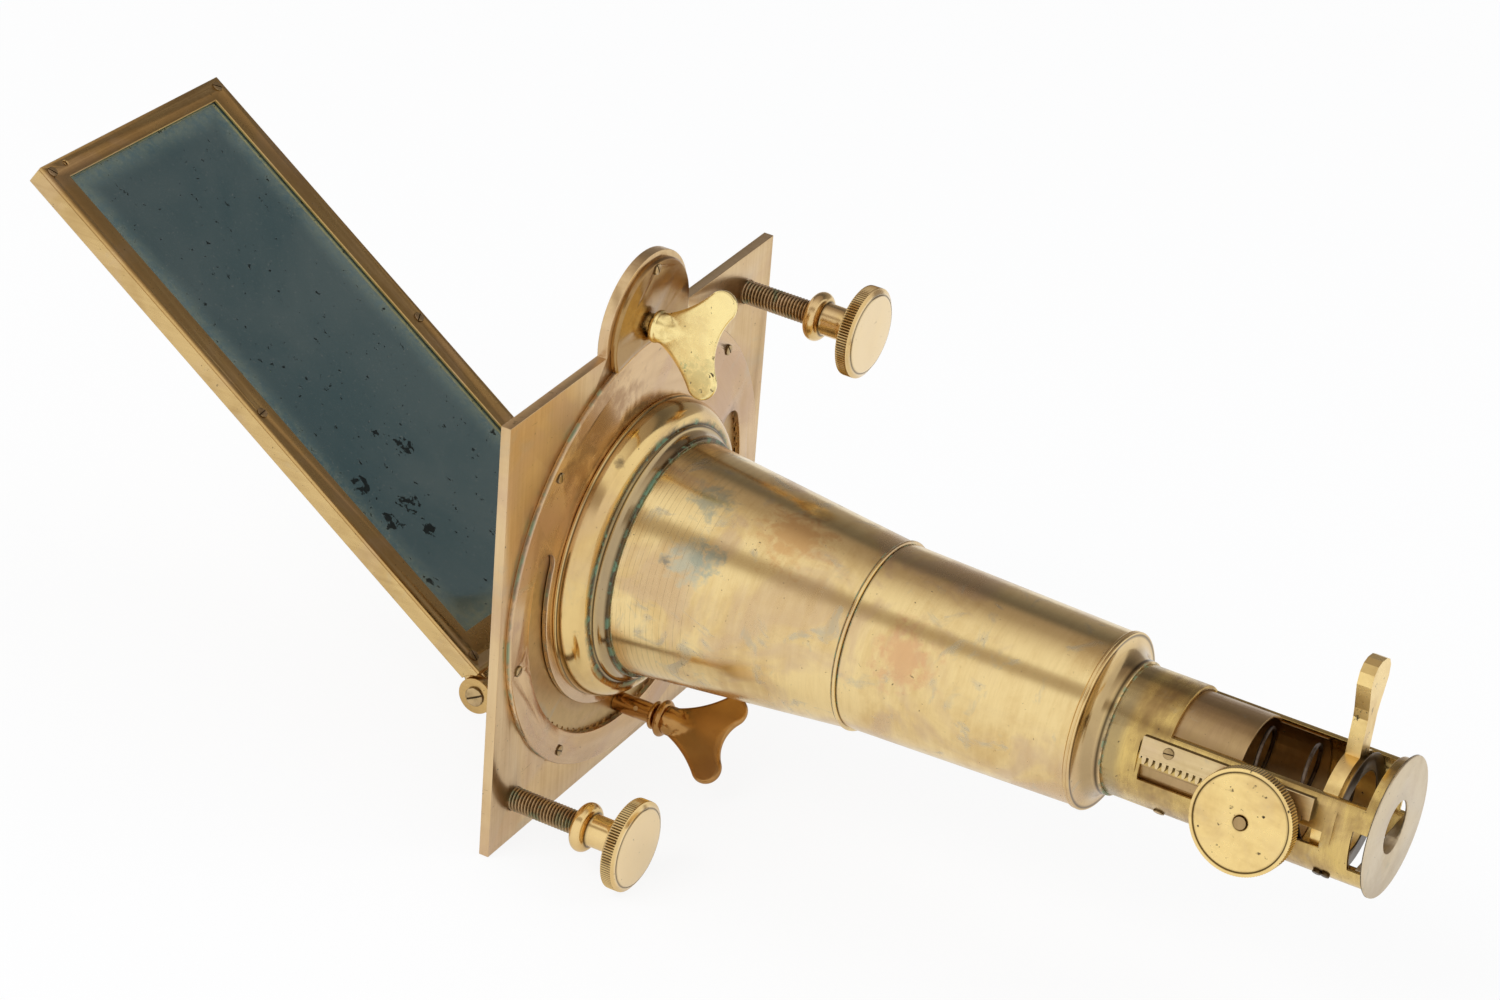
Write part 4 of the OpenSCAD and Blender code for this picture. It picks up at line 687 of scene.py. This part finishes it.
# Brass: a golden colour with brown, rose and grey tarnish in clouds of several sizes, a fine grain that runs
# as the piece was turned or sanded, sparse dark specks, turning lines and green salts in the joints
def brass(name, **changes):
    look = {**brassLook, **changes}
    material, w, here, shader = newMaterial(name)
    x = w.node("ShaderNodeSeparateXYZ", None, {0: here})
    y, z = x.output(1), x.output(2)
    r = w.maths("SQRT", y * y + z * z + 1e-9)
    fine = look["fine"]
    grainPlace = {
        "ring": lambda: (x * fine, y / r * grainAcross, z / r * grainAcross),
        "disc": lambda: (r * fine, y / r * grainAcross, z / r * grainAcross),
        "lengthX": lambda: (x * grainAlong, y * fine, z * fine),
        "lengthZ": lambda: (x * fine, y * fine, z * grainAlong),
        "cast": lambda: (x * castScale, y * castScale, z * castScale)}[look["grain"]]()
    grain = w.noise(w.vector(*grainPlace), 1.0, 3.0, 0.65)
    broad = w.noise(w.vector(grainPlace[0] * 0.14, grainPlace[1] * 0.5, grainPlace[2] * 0.5), 1.0, 2.0, 0.6)
    cloud = w.noise(here, look["stain"], 6.0, 0.58, 0.5)
    other = w.noise(here, look["stain"] * 1.9 + 3.0, 5.0, 0.6, 0.8)
    third = w.noise(here, look["stain"] * 0.7 + 11.0, 4.0, 0.55, 1.0)
    small = w.noise(here, look["stain"] * 8.0, 4.0, 0.6, 0.3)
    brown = (cloud * 0.7 + broad * 0.2 + small * 0.1).between(*look["brownEdge"]) * look["brownness"]
    rose = third.between(*look["roseEdge"]) * look["roseness"]
    grey = other.between(look["greyFrom"], look["greyFrom"] + 0.12) * look["greyness"]
    speck = w.noise(here, look["speckScale"], 2.0, 0.5).between(look["speckFrom"], look["speckFrom"] + 0.03)
    speck = speck * small.between(*look["speckEdge"]) * look["specks"]
    colour = w.mixed(brown, look["bright"], look["brown"])
    colour = w.mixed(rose, colour, look["rose"])
    colour = w.mixed(grey, colour, look["grey"])
    shade = (grain * 0.6 + broad * 0.4).between(*look["shadeEdge"]) * look["grainShade"]
    colour = w.mixed(shade, colour, look["brown"])
    # shade and tone bands: painted shade in hollows, and darker or paler bands elsewhere
    for place, width, tint in look["bands"]:
        colour = w.mixed(x.band(place * mm, width * mm) * (cloud * 0.6 + 0.45), colour, tint)
    # painted shade on all that lies behind a plane
    for direction, distance, tint in look["behind"]:
        colour = w.mixed((here.along(direction) - distance * mm).between(0.0, 0.3 * mm), colour, tint)
    # stains, and painted reflections where a finish lists one
    for point, radius, tint in look["patches"]:
        near = here.distance(point) + (small - 0.5) * radius * mm * 2.2
        colour = w.mixed((1.0 - near.between(radius * mm * 0.2, radius * mm)) * 0.75, colour, tint)
    # the grime attribute holds grime and painted shade in grooves, corners, thread roots and screw slots, and
    # a painted shadow round screw rims, all mixed towards the dark colour
    grime = w.node("ShaderNodeAttribute", {"attribute_name": "grime"}, None, "Fac")
    dark = w.maths("MAXIMUM", speck, grime * 0.9)
    if look["scratches"]:
        marks = w.noise(w.vector(x * 260.0, y * 260.0, z * 1500.0), 1.0, 2.0, 0.5, 1.5)
        marks = marks.between(*look["scratchEdge"]) * small.between(*look["scratchPlaces"])
        dark = dark + marks * look["scratches"]
    rough = (look["rough"] - 0.05) + brown * look["dull"] + grey * 0.16 + rose * 0.06
    rough = rough + grain * 0.08 + small * 0.06
    height = grain * 0.5 + small * 0.12
    for place, width in look["lines"]:
        line = x.band(place * mm, width * mm)
        height = height - line * 1.2
        dark = w.maths("MAXIMUM", dark, line * small.between(*look["lineEdge"]) * 0.34)
    height = height - dark * 0.8
    colour = w.mixed(w.maths("MINIMUM", dark, 1.0), colour, look["dark"])
    metal = 1.0 - speck * 0.4
    for place, width in look["verdigris"]:
        green = x.band(place * mm, width * mm) * (small * 0.6 + other * 0.4).between(*look["saltEdge"])
        salt = w.mixed(small.between(*look["saltSpots"]), look["saltBrown"], look["saltGreen"])
        colour = w.mixed(green * 0.75, colour, salt)
        metal = metal - green * 0.55
        rough = rough + green * 0.3
    bump = w.node("ShaderNodeBump", None, {
        "Strength": look["grainDepth"], "Distance": 0.2 * mm, "Height": height})
    for wire, name in ((colour, "Base Color"), (metal, "Metallic"), (rough, "Roughness"), (bump, "Normal")):
        plug(shader, wire, name)
    return material


# Turning marks spread out along the tube. A finish is named after its slot, or serves a few nodes alone.
turningLines = tuple((17.9 + 1.15 * k + 0.05 * k * k, 0.09) for k in range(13))
greyGreen = (0.36, 0.38, 0.29)
finishes = {
    "sanded_brass": brass(
        "sandedBrass", bright=(0.76, 0.56, 0.31), brown=(0.56, 0.36, 0.17), rose=(0.66, 0.46, 0.29),
        rough=0.28, grain="lengthZ", fine=1500.0, roseness=0.6, greyness=0.25, scratches=0.35,
        grainShade=0.3),
    "brushed_brass": brass(
        "brushedDiscBrass", bright=(0.72, 0.51, 0.29), brown=(0.50, 0.31, 0.15), rose=(0.60, 0.41, 0.28),
        rough=0.20, grain="disc", fine=1900.0, roseness=0.7, greyness=0.3, verdigris=((3.9, 0.75),),
        # a large dark brown patch on the disc beside the moulding is a painted reflection
        patches=(((4.7, -25.3, 49.7), 24.0, (0.34, 0.19, 0.09)),)),
    "polished_brass": brass(
        "polishedBrass", bright=(0.80, 0.57, 0.25), brown=(0.62, 0.39, 0.15), rough=0.15, grainShade=0.10,
        grainDepth=0.03, roseness=0.3, greyness=0.12, greyFrom=0.66, stain=40.0),
    "ear": brass(
        "earBrass", bright=(0.42, 0.26, 0.10), brown=(0.28, 0.155, 0.055), rose=(0.36, 0.21, 0.11),
        grain="cast", rough=0.17, stain=40.0),
    "clampHead": brass(
        "clampHeadBrass", bright=(0.84, 0.61, 0.28), brown=(0.66, 0.43, 0.17), rough=0.14, stain=50.0,
        grainShade=0.1, grainDepth=0.03, roseness=0.3, greyness=0.1, specks=1.0,
        bands=((44.3, 0.7, (0.93, 0.75, 0.48)),)),
    "cap": brass(
        "capBrass", bright=(0.78, 0.57, 0.27), rough=0.16, grainDepth=0.05, roseness=0.4, stain=40.0,
        # the band in the cap's hollow shoulder is painted shade
        bands=((159.9, 2.6, (0.42, 0.30, 0.15)),), verdigris=((163.4, 0.5),)),
    "moulding": brass(
        "mouldingBrass", bright=(0.80, 0.58, 0.25), rough=0.12, grainDepth=0.03, grainShade=0.12,
        # the band in the moulding's hollow is painted shade
        brownness=0.6, roseness=0.3, greyness=0.25, stain=34.0, bands=((15.3, 2.9, (0.34, 0.26, 0.16)),),
        verdigris=((12.9, 0.5), (16.9, 0.9)),
        patches=(((9.0, -20.0, 37.5), 2.6, (0.12, 0.08, 0.05)),
                 ((9.5, -41.0, -5.0), 2.2, (0.16, 0.11, 0.06)))),
    "lacquered_brass": brass(
        "lacqueredBrass", bright=(0.86, 0.66, 0.32), brown=(0.64, 0.42, 0.16), rough=0.16, stain=42.0,
        brownness=0.75, greyness=0.6, greyFrom=0.56, roseness=0.6, lines=turningLines, grainShade=0.22,
        verdigris=((17.1, 0.7), (84.6, 0.35), (86.05, 0.3)),
        patches=(((34.0, -11.0, 30.0), 8.0, greyGreen), ((37.0, -25.0, 19.0), 9.0, (0.50, 0.50, 0.38)),
                 ((30.0, -27.0, 17.0), 2.4, (0.16, 0.15, 0.13)), ((41.0, -24.0, 20.0), 6.0, greyGreen),
                 ((60.0, -10.0, 29.0), 13.0, (0.66, 0.38, 0.15)),
                 ((104.0, -24.0, 12.0), 12.0, (0.70, 0.40, 0.20)))),
    "sleeve": brass(
        "sleeveBrass", bright=(0.74, 0.53, 0.18), brown=(0.33, 0.20, 0.08), rough=0.22, brownness=0.9,
        roseness=0.15, stain=48.0, grainShade=0.35, greyness=0.2, specks=0.9, verdigris=((163.7, 0.6),),
        bands=((165.0, 5.0, (0.36, 0.27, 0.14)),)),
    "dark_brass": brass(
        "darkBrass", bright=(0.50, 0.34, 0.16), brown=(0.30, 0.19, 0.08), rose=(0.44, 0.29, 0.16), rough=0.28,
        grainShade=0.25, stain=50.0),
    "bezel": brass(
        "bezelBrass", bright=(0.62, 0.41, 0.16), brown=(0.44, 0.26, 0.09), rough=0.26, grain="lengthX",
        fine=1500.0, stain=44.0, roseness=0.3, greyness=0.12, scratches=0.3),
    "tray": brass(
        "trayBrass", bright=(0.68, 0.48, 0.21), brown=(0.46, 0.29, 0.11), rough=0.24, grain="lengthX",
        fine=1500.0, stain=44.0, roseness=0.25, greyness=0.15),
    "gear_brass": brass(
        "gearBrass", bright=(0.60, 0.42, 0.19), brown=(0.36, 0.23, 0.10), rough=0.32, grain="cast"),
    "rack": brass(
        "rackBrass", bright=(0.80, 0.62, 0.34), brown=(0.56, 0.40, 0.18), rough=0.30, grain="lengthX",
        fine=1600.0, scratches=0.7, grainShade=0.35, stain=70.0, specks=1.0,
        # all behind the rack's front face, with the gaps between the teeth, is painted near-black shade
        behind=((onRack[:3, 1], -19.8, (0.10, 0.065, 0.03)),)),
    "screw_brass": brass(
        "screwBrass", bright=(0.58, 0.41, 0.20), brown=(0.28, 0.19, 0.09), rough=0.30, grain="cast",
        stain=160.0, brownness=0.9),
    "end": brass(
        "endDiscBrass", bright=(0.70, 0.59, 0.42), brown=(0.54, 0.42, 0.26), rose=(0.62, 0.50, 0.36),
        rough=0.36, grain="disc", fine=1500.0, stain=40.0),
    "wing": brass(
        "castWingBrass", bright=(1.0, 0.82, 0.38), brown=(0.84, 0.62, 0.26), rough=0.22, grain="cast",
        grainDepth=0.2, specks=1.0, speckScale=430.0, speckFrom=0.66, stain=75.0, roseness=0.15,
        greyness=0.25, greyFrom=0.64,
        patches=(((22.5, -4.0, 62.5), 8.5, (0.66, 0.55, 0.25)), ((9.0, 0.0, 72.0), 5.0, (0.74, 0.55, 0.22)),
                 ((18.0, -3.2, 64.5), 1.7, (0.30, 0.45, 0.26)), ((25.0, 4.6, 80.0), 1.6, greyGreen))),
    "brownWing": brass(
        "brownWingBrass", bright=(0.46, 0.245, 0.08), brown=(0.29, 0.14, 0.04), rose=(0.38, 0.19, 0.08),
        rough=0.16, grain="cast", grainDepth=0.1, stain=60.0, roseness=0.15, greyness=0.1, greyFrom=0.66),
    "knob": brass(
        "knobBrass", bright=(0.95, 0.71, 0.30), brown=(0.72, 0.49, 0.19), rough=0.26, grain="cast",
        specks=1.0, speckScale=430.0, speckFrom=0.665, grainDepth=0.1, stain=70.0, roseness=0.15,
        greyness=0.1, brownness=0.8),
    "thread_brass": brass(
        "threadBrass", bright=(0.50, 0.34, 0.18), brown=(0.24, 0.15, 0.07), grey=(0.22, 0.27, 0.16),
        rough=0.30, grain="cast", stain=90.0, brownness=0.9, greyness=0.8, greyFrom=0.54),
    "black_brass": brass(
        "blackenedBrass", bright=(0.16, 0.12, 0.08), brown=(0.05, 0.035, 0.02), rose=(0.10, 0.07, 0.05),
        grey=(0.12, 0.12, 0.11), rough=0.30)}

# Mirror: half width and ends of the glass that shows, its colours, and places where the silver is gone as
# (along, across, reach), all in the frame's plane
mirrorFace = {
    "half": 35.7, "near": 15.8, "far": 189.8, "level": 7.0,
    "deep": (0.20, 0.34, 0.36), "pale": (0.32, 0.45, 0.45), "haze": (0.42, 0.52, 0.42),
    "dust": (0.60, 0.68, 0.64), "bare": (0.02, 0.025, 0.025),
    "lost": ((-71.0, -2.4, 5.2), (-78.0, -7.3, 3.4), (-67.5, -27.2, 3.4), (-56.4, -17.0, 5.6),
             (-47.0, -17.6, 3.2), (-53.9, -27.6, 4.2), (-33.0, -31.6, 4.0), (-59.8, 32.4, 3.6))}


# Old silvered glass: dark blue-green, dusty towards the frame, with black spots where the silver is gone
def mirrorGlass():
    material, w, here, shader = newMaterial("oldMirror")
    cloud = w.noise(here, 16.0, 6.0, 0.6, 0.6)
    fine = w.noise(here, 420.0, 4.0, 0.65, 0.3)
    dust = w.noise(here, 1500.0, 2.0, 0.5)
    # along and across the frame, in metres
    length, side = [here.along(onMirror[:3, k]) - onMirror[:3, k] @ onMirror[:3, 3] * mm for k in (0, 1)]
    side = w.maths("ABSOLUTE", side)
    toEnd = w.maths("MINIMUM", length + mirrorFace["far"] * mm, -mirrorFace["near"] * mm - length)
    toEdge = w.maths("MINIMUM", mirrorFace["half"] * mm - side, toEnd)
    haze = (1.0 - (toEdge - cloud * 0.006).between(-0.003, 0.006)) * 0.8
    loss = 0.0
    for x, y, reach in mirrorFace["lost"]:
        spot = (onMirror @ (x, y, mirrorFace["level"], 1.0))[:3]
        near = here.distance(spot) + (cloud - 0.5) * 0.012
        loss = w.maths("MAXIMUM", (1.0 - near.between(0.3 * reach * mm, reach * mm)) * 0.20, loss)
    loss = (fine + loss).between(0.655, 0.675)
    colour = w.mixed(cloud.between(0.3, 0.7), mirrorFace["deep"], mirrorFace["pale"])
    colour = w.mixed(haze * fine.between(0.35, 0.6), colour, mirrorFace["haze"])
    colour = w.mixed(dust.between(0.64, 0.70) * 0.5, colour, mirrorFace["dust"])
    colour = w.mixed(loss * 0.92, colour, mirrorFace["bare"])
    plug(shader, colour, "Base Color")
    plug(shader, cloud * 0.05 + dust * 0.03 + loss * 0.3 + haze * 0.15 + 0.02, "Roughness")
    plug(shader, 0.94 - haze * 0.15, "Metallic")
    return material


# Clear glass of the lenses
def lensGlass():
    material, w, here, shader = newMaterial("lensGlass")
    plug(shader, w.noise(here, 300.0, 3.0) * 0.03 + 0.01, "Roughness")
    shader.inputs["Base Color"].default_value = (0.92, 0.97, 0.95, 1)
    shader.inputs["Transmission Weight"].default_value = 1.0
    shader.inputs["IOR"].default_value = 1.5
    return material


# Dark spring steel
def springSteel():
    material, w, here, shader = newMaterial("springSteel")
    mark = w.noise(here, 260.0, 4.0, 0.6)
    plug(shader, w.mixed(mark.between(0.4, 0.7), (0.17, 0.13, 0.10), (0.07, 0.045, 0.03)), "Base Color")
    plug(shader, mark * 0.25 + 0.28, "Roughness")
    shader.inputs["Metallic"].default_value = 1.0
    return material


finishes["mirror_glass"] = mirrorGlass()
finishes["lens_glass"] = lensGlass()
finishes["spring_steel"] = springSteel()

# Nodes whose finish differs from their slot's
nodeFinish = {
    "base_moulding": "moulding", "tube_cap": "cap", "nose_sleeve": "sleeve", "mirror_bezel": "bezel",
    "mirror_tray": "tray", "near_cock": "bezel", "far_cock": "bezel", "turn_key": "wing",
    "tilt_key": "brownWing", "focus_knob": "knob", "rack_bar": "rack", "pressure_plate": "knob",
    "ear_cover": "ear", "sleeve_stud": "rack", "end_disc": "end", "focus_pinion": "dark_brass",
    "upper_clamp_head": "clampHead", "lower_clamp_head": "clampHead"}
for piece in list(bpy.data.objects):
    if piece.type != "MESH":
        continue
    standsFor = list(piece.get("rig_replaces", []))
    node = piece.name if piece.name in slotOf else standsFor[0] if standsFor else "stage_spring"
    finish = finishes[nodeFinish.get(node, slotOf[node])]
    if not piece.material_slots:
        piece.data.materials.append(finish)
    for place in piece.material_slots:
        place.material = finish
print("materials on every piece")


# Stands a camera or a lamp at a place in metres, with its own three axes
def stand(thing, axes, place):
    bpy.context.scene.collection.objects.link(thing)
    matrix = np.eye(4)
    matrix[:3, :3], matrix[:3, 3] = np.array(axes).T, place
    thing.matrix_world = [list(row) for row in matrix.T]


# Camera: focal length in pixels of a picture 1500 wide, place in metres, and its own axes: right, up and back
view = {
    "sensor": 36.0, "focal": 5030.0, "pixels": 1500.0, "clip": (0.05, 20.0),
    "place": (0.6097, -1.0657, 0.7503), "right": (0.8591, 0.5070, 0.0703), "up": (-0.3134, 0.4124, 0.8554)}
camera = bpy.data.cameras.new("camera")
camera.sensor_width = view["sensor"]
camera.lens = view["focal"] / view["pixels"] * view["sensor"]
camera.clip_start, camera.clip_end = view["clip"]
cameraObject = bpy.data.objects.new("camera", camera)
right = np.array(view["right"]) / np.linalg.norm(view["right"])
up = view["up"] - right * (right @ np.array(view["up"]))
up /= np.linalg.norm(up)
stand(cameraObject, (right, up, np.cross(right, up)), view["place"])
bpy.context.scene.camera = cameraObject


# A sheet of the studio from a grid of points in metres, marked as stage
def studioSheet(name, grid, material):
    mesh = bpy.data.meshes.new(name)
    mesh.from_pydata(grid[..., :3].reshape(-1, 3).tolist(), [], gridFaces(grid.shape[0], grid.shape[1]))
    mesh.materials.append(material)
    sheet = bpy.data.objects.new(name, mesh)
    bpy.context.scene.collection.objects.link(sheet)
    return sheet


# White paper: partly lit by itself, so that it stays pale and keeps a soft shadow. Seen is the share of its
# own light for the camera, and reflected the share in reflections.
paper = {"low": (0.86, 0.86, 0.87), "high": (0.88, 0.88, 0.885), "seen": 0.88, "reflected": 0.5, "reach": 3}
paperFinish, w, here, paperShader = newMaterial("paper")
paperShader.inputs["Roughness"].default_value = 0.8
plug(paperShader, w.mixed(w.noise(here, 3.0), paper["low"], paper["high"]), "Base Color")
rays = w.node("ShaderNodeLightPath")
seen = w.maths("ADD", rays, rays.output("Is Transmission Ray"), True) * paper["seen"]
seen = seen + rays.output("Is Glossy Ray") * paper["reflected"]
glow = w.node("ShaderNodeEmission", None, {"Color": (1.0, 1.0, 1.0, 1.0)})
result = w.node("ShaderNodeMixShader", None, {0: seen, 1: Wire(w.tree, paperShader.outputs[0]), 2: glow})
w.tree.links.new(result.socket, w.tree.nodes["Material Output"].inputs["Surface"])
u = np.linspace(-paper["reach"], paper["reach"], 3)
studioSheet("table", columns(u[:, None], u[None, :], cadLow[2] - 0.2 * mm), paperFinish)

# Screens that only reflections see, parts of a cylinder about the instrument's axis: one stands behind and
# bends over the instrument, dark below and pale where it ends, and a narrow dark one hangs in front. Tones
# are (angle above the table as a share of half a turn, colour).
screen = {
    "left": -1.5, "right": 0.9, "reach": 1.2, "back": (-3, 108, 28), "front": (114, 137, 12), "tones": (
        (0.0, (0.42, 0.38, 0.36)), (0.10, (0.30, 0.27, 0.25)), (0.17, (0.20, 0.185, 0.18)),
        (0.24, (0.13, 0.12, 0.12)), (0.29, (0.36, 0.30, 0.27)), (0.37, (0.42, 0.36, 0.32)),
        (0.44, (0.66, 0.61, 0.57)), (0.52, (0.90, 0.88, 0.86)), (0.60, (1.0, 1.0, 1.0)),
        (0.65, (0.56, 0.50, 0.44)), (0.68, (0.44, 0.38, 0.32)), (0.72, (0.48, 0.42, 0.36)),
        (0.76, (1.0, 1.0, 1.0)))}
shade, w, here, shadeShader = newMaterial("darkScreen")
shadeShader.inputs["Base Color"].default_value = (0.0, 0.0, 0.0, 1)
shadeShader.inputs["Specular IOR Level"].default_value = 0.0
shadeShader.inputs["Emission Strength"].default_value = 1.0
apart = w.node("ShaderNodeSeparateXYZ", None, {0: here})
angle = w.maths("ARCTAN2", apart.output(2), apart.output(1)) / np.pi
plug(shadeShader, w.node("ShaderNodeValToRGB", {"stops": screen["tones"]}, {"Fac": angle}), "Emission Color")


# Part of a cylinder between two angles in degrees
def screenGrid(first, last, steps):
    across = np.linspace(screen["left"], screen["right"], 5)[:, None]
    a = np.radians(np.linspace(first, last, steps))[None, :]
    return columns(across, screen["reach"] * np.cos(a), screen["reach"] * np.sin(a))


for name in ("back", "front"):
    sheet = studioSheet(name + "_screen", screenGrid(*screen[name]), shade)
    for ray in ("camera", "diffuse", "shadow", "transmission", "volume_scatter"):
        setattr(sheet, "visible_" + ray, False)

# World: white where it is seen, reflected or looked through, and a little cooler as light
skyLight = {"light": (0.72, 0.73, 0.75), "seen": (1.0, 1.0, 1.0)}
world = bpy.data.worlds.new("studio")
bpy.context.scene.world = world
world.use_nodes = True
sky = Wire(world.node_tree)
rays = sky.node("ShaderNodeLightPath")
seen = sky.maths("ADD", rays + rays.output("Is Glossy Ray"), rays.output("Is Transmission Ray"), True)
plug(world.node_tree.nodes["Background"], sky.mixed(seen, skyLight["light"], skyLight["seen"]), "Color")

# Lamps: place and size in metres, and power
lamps = {"aim": (0.03, 0.0, 0.0), "windowLight": ((-0.5, -0.9, 1.2), (0.9, 0.7), 9.0),
         "fillLight": ((0.9, 0.5, 0.9), (0.6, 0.6), 3.0)}


# A soft lamp that looks at the middle of the instrument and isn't seen in reflections
def softLamp(name, place, size, power):
    lamp = bpy.data.lights.new(name, "AREA")
    lamp.shape = "RECTANGLE"
    lamp.size, lamp.size_y = size
    lamp.energy = power
    holder = bpy.data.objects.new(name, lamp)
    zAxis = np.array(place) - np.array(lamps["aim"])
    zAxis /= np.linalg.norm(zAxis)
    xAxis = np.cross((0, 0, 1), zAxis)
    xAxis /= np.linalg.norm(xAxis)
    stand(holder, (xAxis, np.cross(zAxis, xAxis), zAxis), place)
    holder.visible_glossy = False


for name in ("windowLight", "fillLight"):
    softLamp(name, *lamps[name])
bpy.context.scene.view_settings.view_transform = "Standard"
print("camera, table and lights set")
